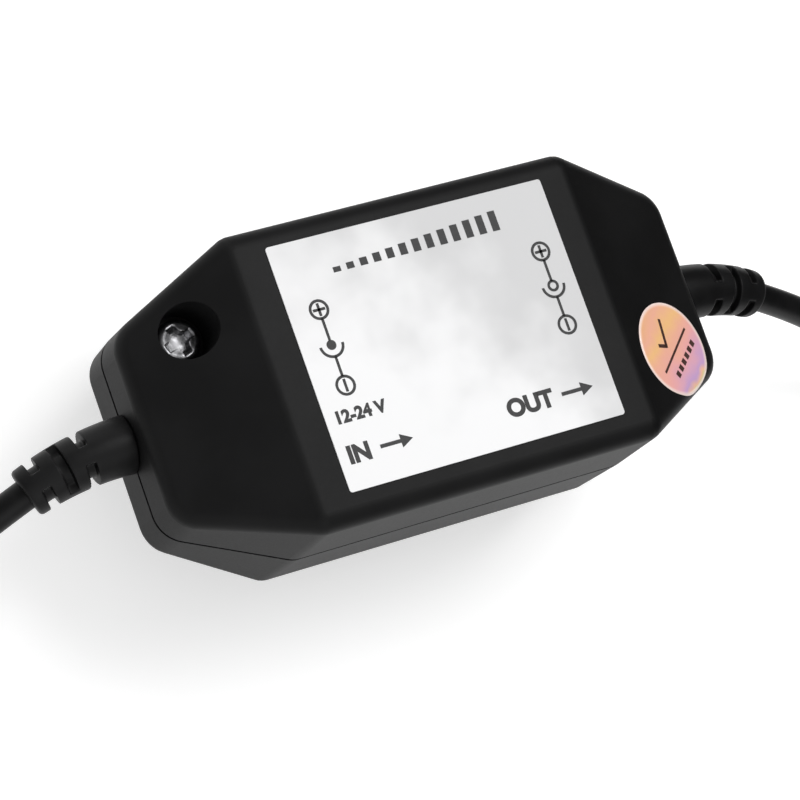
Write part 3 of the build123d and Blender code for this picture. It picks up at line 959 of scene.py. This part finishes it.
class RepeatTree:
    """Geometry Nodes tree with named inputs that ends in one material."""

    KINDS: ClassVar[dict[type, str]] = {
        int: "NodeSocketInt",
        bpy.types.Object: "NodeSocketObject",
    }
    UNIT: ClassVar[Point3] = (1.0, 1.0, 1.0)

    def __init__(self, name: str, sizes: dict[str, Any]) -> None:
        """Make the tree with its inputs and output.

        Args:
            name: the tree's name.
            sizes: value of each input by its name.
        """
        self.name = name
        self.sizes = sizes
        self.tree = bpy.data.node_groups.new(name, "GeometryNodeTree")
        self.graph = Graph(self.tree)
        self.identifiers: dict[str, str] = {}
        interface = self.tree.interface
        interface.new_socket("Geometry", in_out="OUTPUT", socket_type="NodeSocketGeometry")
        for size, value in sizes.items():
            kind = self.KINDS.get(type(value), "NodeSocketFloat")
            socket = interface.new_socket(size, in_out="INPUT", socket_type=kind)
            self.identifiers[size] = socket.identifier
        self.source = self.graph.add("NodeGroupInput")

    def size(self, name: str) -> Wire:
        """One of the named inputs."""
        return Wire(self.graph, self.source.outputs[name])

    def block(self) -> Wire:
        """Cube of one metre, which a scale turns into a block of any size."""
        return self.graph.node("GeometryNodeMeshCube", inputs={"Size": self.UNIT})

    def build(self, finish: Finish, count: Any, centre: Wire, **instance: Any) -> bpy.types.Mesh:
        """Repeat a shape, close the tree and run it once.

        Args:
            finish: material of the result.
            count: number of copies.
            centre: place of each copy.
            instance: the shape and its turn and scale, by Instance on Points' inputs.

        Returns:
            The result as a plain mesh.
        """
        graph = self.graph
        points = graph.node("GeometryNodePoints", inputs={"Count": count, "Position": centre})
        copies = graph.node("GeometryNodeInstanceOnPoints", inputs={"Points": points, **instance})
        solid = graph.node("GeometryNodeRealizeInstances", inputs={0: copies})
        ends = {"Geometry": solid, "Material": finish.material()}
        graph.add("NodeGroupOutput", inputs={0: graph.node("GeometryNodeSetMaterial", inputs=ends)})
        holder = placed(self.name, bpy.data.meshes.new(self.name))
        modifier = holder.modifiers.new(self.name, "NODES")
        modifier.node_group = self.tree
        for size, value in self.sizes.items():
            modifier[self.identifiers[size]] = value
        return plain_mesh(holder)


# Sub-assemblies


@dataclass(frozen=True)
class SoftBox:
    """Square soft box that points at the object."""

    AIM: ClassVar[Point3] = (0.0, 0.0, 0.02)

    name: str
    place: Point3
    size: float
    power: float

    def build(self) -> None:
        """Hang the lamp."""
        light = bpy.data.lights.new(self.name, "AREA")
        light.size = self.size
        light.energy = self.power
        lamp = placed(self.name, light)
        lamp.location = self.place
        towards = Vector(self.AIM) - Vector(self.place)
        lamp.rotation_euler = towards.to_track_quat("-Z", "Y").to_euler()


@dataclass
class Studio:
    """Pale floor, soft light and the camera at the photograph's angle."""

    camera_place: Point3 = (-0.17916, -0.07216, 0.41933)
    camera_right: Point3 = (0.88091, -0.33083, 0.33846)
    camera_up: Point3 = (0.24500, 0.93060, 0.27197)
    lens_mm: float = 151.0
    sensor_mm: float = 36.0
    nearest: float = 0.01
    floor_size: float = 6.0
    floor_thickness: float = 0.001
    card_place: Point2 = (0.15, 0.05)
    card_size: Point2 = (0.9, 0.24)
    card_thickness: float = 0.002
    ambient: float = 0.6
    flag_aim: Point3 = (-0.5, 0.42, 0.76)
    flag_edge: Point2 = (0.66, 0.86)
    flag_depth: float = 0.6
    lamps: tuple[SoftBox, ...] = (
        SoftBox("front_softbox", (-0.05, -0.55, 0.5), 0.5, 0.5),
        SoftBox("top_softbox", (0.25, 0.13, 0.62), 0.3, 2.0),
        SoftBox("back_softbox", (-0.1, 0.7, 0.45), 0.5, 0.6),
    )

    def build(self) -> None:
        """Make the camera, the floor, the card, the world and the lamps."""
        self.camera()
        self.floor()
        self.card()
        self.world()
        for lamp in self.lamps:
            lamp.build()
        bpy.context.scene.view_settings.view_transform = "Standard"

    def camera(self) -> None:
        """Set the camera as the photograph's was."""
        lens = bpy.data.cameras.new("camera")
        lens.sensor_fit = "HORIZONTAL"
        lens.sensor_width = self.sensor_mm
        lens.lens = self.lens_mm
        lens.clip_start = self.nearest
        camera = placed("camera", lens)
        right, up = Vector(self.camera_right), Vector(self.camera_up)
        axes = Matrix((right, up, right.cross(up))).transposed()
        camera.matrix_world = Matrix.Translation(self.camera_place) @ axes.to_4x4()
        bpy.context.scene.camera = camera

    def floor(self) -> None:
        """Lay a white floor that keeps the object's shadow."""
        sheet = PrintSheet(self.floor_thickness)
        half = self.floor_size / 2 / MM
        sheet.bar((-half, 0), (half, 0), 2 * half)
        mesh = sheet.mesh("floor", Matrix.Translation((0, 0, -self.floor_thickness)))
        mesh.materials.append(FLOOR_WHITE.material())
        placed("floor", mesh)

    def card(self) -> None:
        """Stand a black card past the output end, for its dark slope, in reflections only."""
        (x, y), (width, height) = self.card_place, self.card_size
        half, middle = width / 2 / MM, height / 2 / MM
        sheet = PrintSheet(self.card_thickness)
        sheet.bar((-half, middle), (half, middle), 2 * middle)
        quarter = math.radians(90)
        stand = Matrix.Rotation(quarter, 4, "Z") @ Matrix.Rotation(quarter, 4, "X")
        mesh = sheet.mesh("dark_card", Matrix.Translation((x, y, 0)) @ stand)
        mesh.materials.append(CARD_BLACK.material())
        card = placed("dark_card", mesh)
        card.visible_camera = card.visible_diffuse = card.visible_shadow = False

    def world(self) -> None:
        """Light everything evenly, white where the background shows."""
        world = bpy.data.worlds.new("studio")
        bpy.context.scene.world = world
        world.use_nodes = True
        graph = Graph(world.node_tree)
        seen = graph.seen()
        shade = self.flag_depth * self.flagged(graph) * (1.0 - graph.ray(Ray.CAMERA))
        strength = self.ambient * (1.0 - seen) + seen * (1.0 - shade)
        inputs = {"Color": WHITE, "Strength": strength}
        graph.fill(world.node_tree.nodes["Background"], inputs)

    def flagged(self, graph: Graph) -> Wire:
        """Mark the dark flag that keeps reflections off the input end's slope.

        Args:
            graph: the world's nodes.

        Returns:
            One inside the flag, falling to zero over its soft edge.
        """
        around = graph.node("ShaderNodeTexCoord", output="Generated")
        ends = {0: around, 1: Vector(self.flag_aim).normalized()}
        near = graph.node("ShaderNodeVectorMath", {"operation": "DOT_PRODUCT"}, ends, "Value")
        return near.ramp(*self.flag_edge)


@dataclass
class Lead:
    """A free lead on one smooth curve, with the moulded end that it carries."""

    name: str
    node: str
    route: Sequence[Point3]
    length: float
    far_end: FarEnd
    end_nodes: Sequence[str]
    diameter: float = 4 * MM
    round_steps: int = 8
    run_steps: int = 16

    def build(self) -> None:
        """Make the lead in place of its CAD solid."""
        curve = bpy.data.curves.new(self.name, "CURVE")
        curve.dimensions = "3D"
        curve.bevel_depth = self.diameter / 2
        curve.bevel_resolution = self.round_steps
        curve.resolution_u = self.run_steps
        curve.use_fill_caps = True
        spline = curve.splines.new("NURBS")
        spline.points.add(len(self.route) - 1)
        for point, place in zip(spline.points, self.route):
            point.co = (*place, 1.0)
        spline.order_u = 3
        spline.use_endpoint_u = True
        curve.materials.append(VINYL.material())
        lead = placed(self.name, curve)
        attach(lead, CASE)
        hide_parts(self.node)
        LOG.info("%s lies as a lead of %.3f m", self.name, self.length)


@dataclass
class Case:
    """Both shells, and the strain reliefs with their moulded edges softened."""

    cell: float = 0.11 * MM
    softening: int = 8
    softness: float = 0.5

    def build(self) -> None:
        """Dress the shells and soften the reliefs."""
        dress({"back_cover": CASE_PLASTIC, "front_case": CASE_PLASTIC})
        for node in ("input_strain_relief", "output_strain_relief"):
            piece = new_piece(f"{node}_soft", self.softened(node), END_VINYL)
            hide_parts(node)

    def softened(self, node: str) -> bpy.types.Mesh:
        """Copy a relief with its edges rounded.

        Args:
            node: the relief's node.

        Returns:
            The copy's mesh.
        """
        bm = bmesh.new()
        bm.from_mesh(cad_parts[node].data)
        bmesh.ops.remove_doubles(bm, verts=bm.verts, dist=WELD_DISTANCE)
        holder = placed("relief_pattern", closed_mesh(bm, "relief_pattern"))
        cells = holder.modifiers.new("cells", "REMESH")
        cells.mode = "VOXEL"
        cells.voxel_size = self.cell
        edges = holder.modifiers.new("edges", "SMOOTH")
        edges.factor = self.softness
        edges.iterations = self.softening
        soft = plain_mesh(holder)
        shade_smooth(soft)
        return soft


@dataclass
class CaseScrews:
    """Two cross-head screws with rolled threads, repeated by Geometry Nodes."""

    head_radius: float = 2.9 * MM
    head_height: float = 1.9 * MM
    crown: float = 0.25 * MM
    crown_rows: int = 26
    shoulder: float = 1.0 * MM
    shoulder_rows: int = 8
    core_radius: float = 1.05 * MM
    thread_depth: float = 0.25 * MM
    thread_pitch: float = 1.0 * MM
    thread_rows: int = 8
    thread_flank: float = 1.6
    thread_gap: float = 0.4 * MM
    tip_length: float = 2.0 * MM
    tip_rows: int = 9
    arm_reach: float = 2.15 * MM
    arm_width: float = 1.15 * MM
    arm_slope: float = 0.45
    land_round: float = 0.8 * MM
    recess_depth: float = 1.3 * MM
    soft_edge: float = 0.16 * MM
    columns: int = 120
    count: int = 2
    first_turn: float = 20.0
    turn_step: float = 45.0

    def build(self) -> None:
        """Make both screws in place of the CAD ones, at opposite corners."""
        low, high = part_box("case_screws")
        screw = placed("screw_pattern", self.screw(high.z - low.z))
        pair = RepeatTree("screw_pair", {
            "Screw": screw,
            "Count": self.count,
            "Half length": high.x - self.head_radius,
            "Half width": high.y - self.head_radius,
            "First turn": math.radians(self.first_turn),
            "Turn step": math.radians(self.turn_step),
        })
        graph = pair.graph
        index = graph.node("GeometryNodeInputIndex")
        side = index * 2.0 - 1.0
        centre = graph.vector(side * pair.size("Half length"), 0.0 - side * pair.size("Half width"))
        pattern = graph.node("GeometryNodeObjectInfo", inputs={"Object": pair.size("Screw")},
                             output="Geometry")
        turn = graph.vector(z=pair.size("First turn") + index * pair.size("Turn step"))
        mesh = pair.build(ZINC, pair.size("Count"), centre, Instance=pattern, Rotation=turn)
        bpy.data.objects.remove(screw)
        mesh.transform(Matrix.Translation((0, 0, high.z)))
        piece = new_piece("screws", mesh, ZINC)
        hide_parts("case_screws")

    @staticmethod
    def smooth(value: float) -> float:
        """Smooth step from zero to one."""
        value = min(max(value, 0.0), 1.0)
        return value * value * (3 - 2 * value)

    def arm(self, along: float, across: float) -> float:
        """Share of the recess's full depth inside one of its arms.

        Args:
            along: distance from the middle along the arm.
            across: distance from the arm's middle line.

        Returns:
            One inside the arm, zero outside.
        """
        wall = (self.arm_width / 2 + self.soft_edge / 2 - across) / self.soft_edge
        end = (self.arm_reach - along) / (self.arm_slope * self.arm_reach)
        return self.smooth(wall) * self.smooth(end)

    def corner(self, x: float, y: float) -> float:
        """Share of the recess's full depth where the lands between its arms are rounded off.

        Args:
            x: distance from the middle along one arm.
            y: distance from the middle along the other.

        Returns:
            One past the rounded land, zero on it.
        """
        middle = self.arm_width / 2 + self.land_round
        if max(x, y) > middle:
            return 0.0
        past = math.hypot(middle - x, middle - y) - self.land_round
        return self.smooth((past + self.soft_edge / 2) / self.soft_edge)

    def recess(self, x: float, y: float) -> float:
        """Depth of the cross recess below the head's top."""
        x, y = abs(x), abs(y)
        return self.recess_depth * max(self.arm(x, y), self.arm(y, x), self.corner(x, y))

    def profile(self, length: float) -> list[Point2]:
        """Rows from the head's middle to near the point, the head's top at height 0.

        Args:
            length: from the head's top to the point.

        Returns:
            Radius and height of each row.
        """
        inner = self.head_radius - self.shoulder
        shares = [i / self.crown_rows for i in range(1, self.crown_rows + 1)]
        rows = [(inner * share, -self.crown * share ** 2) for share in shares]
        for i in range(1, self.shoulder_rows + 1):
            turn = math.radians(90 * i / self.shoulder_rows)
            drop = self.crown + (self.shoulder - self.crown) * (1 - math.cos(turn))
            rows.append((inner + self.shoulder * math.sin(turn), -drop))
        rows.append((self.head_radius, -self.head_height))
        rows.append((self.core_radius + self.thread_depth, -self.head_height))
        shank = length - self.head_height - self.tip_length
        steps = int(shank / (self.thread_pitch / self.thread_rows))
        for i in range(1, steps + 1):
            rows.append((self.core_radius, -self.head_height - shank * i / steps))
        for i in range(1, self.tip_rows):
            left = 1 - i / self.tip_rows
            rows.append((self.core_radius * left, -length + self.tip_length * left))
        return rows

    def screw(self, length: float) -> bpy.types.Mesh:
        """Make one screw as rows round its axis, the recess and the thread worked into them.

        Args:
            length: from the head's top to the point.

        Returns:
            The closed mesh.
        """
        bm = bmesh.new()
        top = bm.verts.new((0, 0, -self.recess(0, 0)))
        point = bm.verts.new((0, 0, -length))
        shank_top = -self.head_height - self.thread_gap
        shank_end = -length + self.tip_length
        rows = []
        for radius, height in self.profile(length):
            row = []
            for k in range(self.columns):
                share = k / self.columns
                cosine, sine = math.cos(2 * math.pi * share), math.sin(2 * math.pi * share)
                reach, z = radius, height
                if height > -self.head_height:
                    z -= self.recess(radius * cosine, radius * sine)
                elif shank_end <= height <= shank_top:
                    phase = (height / self.thread_pitch - share) % 1.0
                    crest = 1 - abs(2 * phase - 1) * self.thread_flank
                    reach += self.thread_depth * max(0.0, crest)
                row.append(bm.verts.new((reach * cosine, reach * sine, z)))
            rows.append(row)
        round_faces(bm, top, rows)
        round_faces(bm, point, [rows[-1][::-1]])
        bmesh.ops.recalc_face_normals(bm, faces=bm.faces)
        mesh = closed_mesh(bm, "screw_pattern")
        shade_smooth(mesh)
        return mesh


@dataclass
class RatingLabel:
    """Silver label with polarity marks, plain words and a rising brightness scale.

    Sizes and places of the print are in millimetres from the label's middle.
    """

    stroke: float = 0.37
    columns: tuple[tuple[float, Contact], ...] = ((-15.67, Contact.PIN), (16.4, Contact.SLEEVE))
    plus_y: float = 7.0
    contact_y: float = 2.25
    minus_y: float = -3.15
    mark_radius: float = 1.18
    sign_share: float = 0.72
    cup_radius: float = 1.53
    dot_radius: float = 0.66
    ring_radius: float = 0.62
    line_start: float = 0.6
    lines: tuple[tuple[str, Point2, float], ...] = (
        ("12-24 V", (-18.3, -7.77), 1.77),
        ("IN", (-18.5, -13.0), 2.43),
        ("OUT", (4.2, -12.95), 2.5),
    )
    arrow_starts: tuple[Point2, ...] = ((-14.0, -11.8), (12.2, -11.7))
    arrow_length: float = 4.6
    arrow_stroke: float = 0.5
    arrow_head: float = 1.7
    arrow_half_width: float = 0.9
    bar_count: int = 13
    bar_low: float = 0.7
    bar_high: float = 2.7
    bar_span: float = 23.0
    bar_foot: float = 11.1
    bar_share: float = 0.55
    bar_thickness: float = 0.02

    def build(self) -> None:
        """Dress the label and print on it."""
        dress({"rating_label": FOIL})
        low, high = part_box("rating_label")
        middle = (low + high) / 2
        place = Matrix.Translation((middle.x, middle.y, high.z))
        sheet = PrintSheet()
        for x, contact in self.columns:
            self.polarity(sheet, x, contact)
        for text, corner, height in self.lines:
            sheet.words(text, corner, height)
        for start in self.arrow_starts:
            self.arrow(sheet, start)
        new_piece("label_marks", sheet.mesh("label_marks", place), INK)
        self.scale(place)

    def polarity(self, sheet: PrintSheet, x: float, contact: Contact) -> None:
        """Print plus, the centre contact in its cup, and minus, joined by a line.

        Args:
            sheet: where to print.
            x: the column's place.
            contact: the connector's centre contact.
        """
        stroke, reach = self.stroke, self.sign_share * self.mark_radius
        for y in (self.plus_y, self.minus_y):
            sheet.arc((x, y), self.mark_radius, stroke)
            sheet.bar((x, y - reach), (x, y + reach), stroke)
        sheet.bar((x - reach, self.plus_y), (x + reach, self.plus_y), stroke)
        sheet.arc((x, self.contact_y), self.cup_radius, stroke, 180.0, 360.0)
        cup_foot, minus_top = self.contact_y - self.cup_radius, self.minus_y + self.mark_radius
        sheet.bar((x, cup_foot), (x, minus_top), stroke)
        line_foot, plus_foot = self.contact_y + self.line_start, self.plus_y - self.mark_radius
        sheet.bar((x, line_foot), (x, plus_foot), stroke)
        if contact is Contact.PIN:
            sheet.disc((x, self.contact_y), self.dot_radius)
        else:
            sheet.arc((x, self.contact_y), self.ring_radius, stroke)

    def arrow(self, sheet: PrintSheet, start: Point2) -> None:
        """Print an arrow to the right, the way the current goes.

        Args:
            sheet: where to print.
            start: the arrow's tail.
        """
        x, y = start
        half, tip = self.arrow_half_width, x + self.arrow_length
        neck = tip - self.arrow_head
        sheet.bar((x, y), (neck, y), self.arrow_stroke)
        sheet.prism([(neck, y - half), (tip, y), (neck, y + half)])

    def scale(self, place: Matrix) -> None:
        """Print a row of bars that grow from dim to bright, by Geometry Nodes.

        Args:
            place: the label's middle on its top.
        """
        steps = self.bar_count - 1
        rows = RepeatTree("label_scale", {
            "Count": self.bar_count,
            "Pitch": self.bar_span / steps * MM,
            "Low": self.bar_low * MM,
            "Growth": (self.bar_high - self.bar_low) / steps * MM,
            "Width": self.bar_share * self.bar_span / steps * MM,
            "Thickness": self.bar_thickness * MM,
        })
        graph, thickness = rows.graph, rows.size("Thickness")
        index = graph.node("GeometryNodeInputIndex")
        height = rows.size("Low") + rows.size("Growth") * index
        across = (index - (rows.size("Count") - 1.0) / 2.0) * rows.size("Pitch")
        mesh = rows.build(
            INK, rows.size("Count"), graph.vector(across, height / 2.0, thickness / 2.0),
            Instance=rows.block(), Scale=graph.vector(rows.size("Width"), height, thickness))
        mesh.transform(place @ Matrix.Translation((0, self.bar_foot * MM, 0)))
        new_piece("label_scale", mesh, INK)


@dataclass
class InspectionSticker:
    """Round foil sticker, pressed over the rounded rim, with a plain tick.

    Sizes and places of the print are in millimetres from the sticker's middle.
    """

    rings: int = 14
    sectors: int = 72
    lift: float = 0.05 * MM
    thickness: float = 0.04 * MM
    bridge: float = 0.76
    probe_height: float = 2 * MM
    print_turn: float = 37.0
    rule_half: float = 4.6
    rule_y: float = -0.35
    rule_width: float = 0.34
    tick_strokes: tuple[tuple[Point2, Point2], ...] = (
        ((-1.9, 2.3), (-0.7, 1.1)),
        ((-0.9, 1.02), (1.9, 3.9)),
    )
    tick_width: float = 0.5
    dash_count: int = 6
    dash_start: float = -3.2
    dash_pitch: float = 1.28
    dash_length: float = 0.8
    dash_y: float = -2.3
    dash_width: float = 0.85

    def build(self) -> None:
        """Drape the sticker and print on it."""
        low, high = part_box("inspection_sticker")
        centre = (low + high) / 2
        radius = (high.y - low.y) / 2
        slope = math.atan2(high.z - low.z, high.x - low.x)
        down = Vector((math.cos(slope), 0, -math.sin(slope)))
        out = Vector((math.sin(slope), 0, math.cos(slope)))
        axes = Matrix((down, Vector((0, 1, 0)), out)).transposed()
        place = Matrix.Translation(centre) @ axes.to_4x4()
        finish = StickerFoil("sticker_pastel_foil", centre=tuple(centre), radius=radius)
        piece = new_piece("sticker", self.draped(place, radius), finish)
        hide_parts("inspection_sticker")
        self.tick(place)

    def draped(self, place: Matrix, radius: float) -> bpy.types.Mesh:
        """Lay a disc on the slope that follows the rim where it runs past the flat.

        Args:
            place: the sticker's centre and axes.
            radius: its radius.

        Returns:
            The sticker's mesh.
        """
        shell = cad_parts["back_cover"]
        tree = BVHTree.FromObject(shell, bpy.context.evaluated_depsgraph_get())
        bm = bmesh.new()
        middle = bm.verts.new(place @ Vector((0, 0, self.lift)))
        rows = []
        for i in range(1, self.rings + 1):
            reach = radius * i / self.rings
            row = []
            for k in range(self.sectors):
                turn = 2 * math.pi * k / self.sectors
                x, y = reach * math.cos(turn), reach * math.sin(turn)
                over_well = reach <= self.bridge * radius
                depth = 0.0 if over_well else self.drop(tree, place, x, y)
                row.append(bm.verts.new(place @ Vector((x, y, self.lift - depth))))
            rows.append(row)
        round_faces(bm, middle, rows)
        mesh = closed_mesh(bm, "sticker")
        shade_smooth(mesh)
        return self.thickened(mesh)

    def drop(self, tree: BVHTree, place: Matrix, x: float, y: float) -> float:
        """How far the shell is under the sticker's plane.

        Args:
            tree: the shell's faces.
            place: the sticker's centre and axes.
            x: place across the plane.
            y: place along the plane.

        Returns:
            The depth, or zero where there is no shell.
        """
        start = place @ Vector((x, y, self.probe_height))
        out = (place.to_3x3() @ Vector((0, 0, 1))).normalized()
        hit = tree.ray_cast(start, -out)[0]
        return 0.0 if hit is None else (start - hit).length - self.probe_height

    def thickened(self, mesh: bpy.types.Mesh) -> bpy.types.Mesh:
        """Give the sheet its thickness.

        Args:
            mesh: the sheet's upper face.

        Returns:
            The closed sheet.
        """
        holder = placed("sheet", mesh)
        modifier = holder.modifiers.new("thickness", "SOLIDIFY")
        modifier.thickness = self.thickness
        modifier.offset = -1.0
        return plain_mesh(holder)

    def tick(self, place: Matrix) -> None:
        """Print a tick, a rule and a row of dashes, turned on the sticker.

        Args:
            place: the sticker's centre and axes.
        """
        sheet = PrintSheet()
        sheet.bar((-self.rule_half, self.rule_y), (self.rule_half, self.rule_y), self.rule_width)
        for start, end in self.tick_strokes:
            sheet.bar(start, end, self.tick_width)
        for index in range(self.dash_count):
            x = self.dash_start + self.dash_pitch * index
            sheet.bar((x, self.dash_y), (x + self.dash_length, self.dash_y), self.dash_width)
        turn = Matrix.Rotation(math.radians(self.print_turn), 4, "Z")
        face = place @ Matrix.Translation((0, 0, self.lift)) @ turn
        new_piece("sticker_marks", sheet.mesh("sticker_marks", face), STICKER_INK)


@dataclass
class Connectors:
    """Socket on the input lead and plug on the output lead."""

    FINISHES: ClassVar[dict[str, Finish]] = {
        "input_socket_shell": END_VINYL,
        "input_socket_contact": NICKEL,
        "input_socket_pin": NICKEL,
        "output_plug_grip": END_VINYL,
        "output_plug_barrel": NICKEL,
        "output_plug_insulator": INSULATOR,
        "output_plug_inner_contact": BRASS,
    }

    def build(self) -> None:
        """Dress both lead ends."""
        dress(self.FINISHES)


@dataclass
class Control:
    """Knob, its pointer and the potentiometer, with a printed dial on the case's front."""

    FINISHES: ClassVar[dict[str, Finish]] = {
        "knob": KNOB_PLASTIC,
        "knob_pointer": POINTER_PAINT,
        "potentiometer_shaft": ZINC,
        "potentiometer_bush": NICKEL,
        "potentiometer_can": ZINC,
        "potentiometer_wafer": WAFER,
        "potentiometer_terminals": TINNED,
        "potentiometer_washer": ZINC,
        "potentiometer_nut": NICKEL,
    }

    tick_count: int = 11
    sweep: float = 300.0
    dial_radius: float = 14.2 * MM
    tick_low: float = 0.8 * MM
    tick_growth: float = 0.16 * MM
    tick_width: float = 0.6 * MM
    tick_thickness: float = 0.02 * MM

    def build(self) -> None:
        """Dress the control and print its dial."""
        dress(self.FINISHES)
        self.dial()

    def dial(self) -> None:
        """Print ticks round the knob that grow from dim to bright, by Geometry Nodes."""
        ring = RepeatTree("dial_ticks", {
            "Count": self.tick_count,
            "Sweep": math.radians(self.sweep),
            "Radius": self.dial_radius,
            "Low": self.tick_low,
            "Growth": self.tick_growth,
            "Width": self.tick_width,
            "Thickness": self.tick_thickness,
        })
        graph, thickness = ring.graph, ring.size("Thickness")
        index = graph.node("GeometryNodeInputIndex")
        turn = (0.5 - index / (ring.size("Count") - 1.0)) * ring.size("Sweep")
        length = ring.size("Low") + ring.size("Growth") * index
        reach = ring.size("Radius") + length / 2.0
        sine, cosine = (graph.node("ShaderNodeMath", {"operation": operation}, {0: turn})
                        for operation in ("SINE", "COSINE"))
        mesh = ring.build(
            DIAL_INK, ring.size("Count"),
            graph.vector(reach * sine, reach * cosine, thickness / -2.0),
            Instance=ring.block(), Rotation=graph.vector(z=0.0 - turn),
            Scale=graph.vector(ring.size("Width"), length, thickness))
        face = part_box("front_case")[0].z
        mesh.transform(Matrix.Translation((0, 0, face)))
        new_piece("dial_ticks", mesh, DIAL_INK)


@dataclass
class Circuit:
    """Circuit board, its components and the wires to the leads."""

    FINISHES: ClassVar[dict[str, Finish]] = {
        "circuit_board": GREEN_MASK,
        "timer_chip": CHIP,
        "timer_chip_legs": TINNED,
        "transistor_tab": TINNED,
        "transistor_body": CHIP,
        "transistor_legs": TINNED,
        "input_capacitor": BLUE_SLEEVE,
        "ceramic_capacitors": CERAMIC,
        "input_wires": WIRE_PAIR,
        "output_wires": WIRE_PAIR,
    }

    lead_length: float = 2.1 * MM
    resistor_colour: Colour = (0.55, 0.4, 0.24)
    resistor_bands: Bands = (
        (-1.7 * MM, (0.2, 0.05, 0.02)),
        (-0.7 * MM, (0.02, 0.02, 0.02)),
        (0.3 * MM, (0.5, 0.16, 0.01)),
        (1.8 * MM, (0.5, 0.36, 0.1)),
    )
    diode_colour: Colour = (0.015, 0.015, 0.015)
    diode_bands: Bands = ((1.8 * MM, (0.6, 0.6, 0.6)),)

    def build(self) -> None:
        """Dress the board and what stands on it."""
        dress(self.FINISHES)
        self.band("resistors", "resistor_banded_lacquer", self.resistor_colour, self.resistor_bands)
        self.band("flyback_diode", "diode_black_case", self.diode_colour, self.diode_bands)

    def band(self, node: str, name: str, colour: Colour, bands: Bands) -> None:
        """Dress a node of lying axial parts in a banded finish, centred on it.

        Args:
            node: the node's name.
            name: the finish's name.
            colour: colour of the bodies.
            bands: place along X and colour of each band.
        """
        low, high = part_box(node)
        lacquer = BandedLacquer(name, colour=colour, bands=bands, middle=(low.x + high.x) / 2,
                                lead_start=(high.x - low.x) / 2 - self.lead_length)
        dress({node: lacquer})


SOCKET_NODES = ("input_socket_shell", "input_socket_contact", "input_socket_pin")
PLUG_NODES = ("output_plug_grip", "output_plug_barrel", "output_plug_insulator",
              "output_plug_inner_contact")
INPUT_ROUTE = (
    (-0.054007, -0.002287, 0.024113),
    (-0.063894, -0.005696, 0.020704),
    (-0.074607, -0.010687, 0.0132),
    (-0.084607, -0.014687, 0.008),
    (-0.094107, -0.013287, 0.0053),
    (-0.100807, -0.006287, 0.005),
    (-0.102907, 0.003113, 0.005),
)
OUTPUT_ROUTE = (
    (0.053846, -0.002128, 0.023361),
    (0.063373, -0.005283, 0.018855),
    (0.073546, -0.011028, 0.0124),
    (0.083446, -0.014728, 0.0074),
    (0.092846, -0.012928, 0.0052),
    (0.099446, -0.005728, 0.005),
    (0.101246, 0.003872, 0.005),
)
INPUT_LENGTH = 0.0654
OUTPUT_LENGTH = 0.0646


def main() -> None:
    """Build the scene in order."""
    logging.basicConfig(level=logging.INFO, format="%(name)s: %(message)s")
    Studio().build()
    Lead("input_lead", "input_cord", INPUT_ROUTE, INPUT_LENGTH, FarEnd.CONNECTOR,
         SOCKET_NODES).build()
    Lead("output_lead", "output_cord", OUTPUT_ROUTE, OUTPUT_LENGTH, FarEnd.PLUG,
         PLUG_NODES).build()
    Case().build()
    CaseScrews().build()
    RatingLabel().build()
    InspectionSticker().build()
    Connectors().build()
    Control().build()
    Circuit().build()


if __name__ == "__main__":
    main()
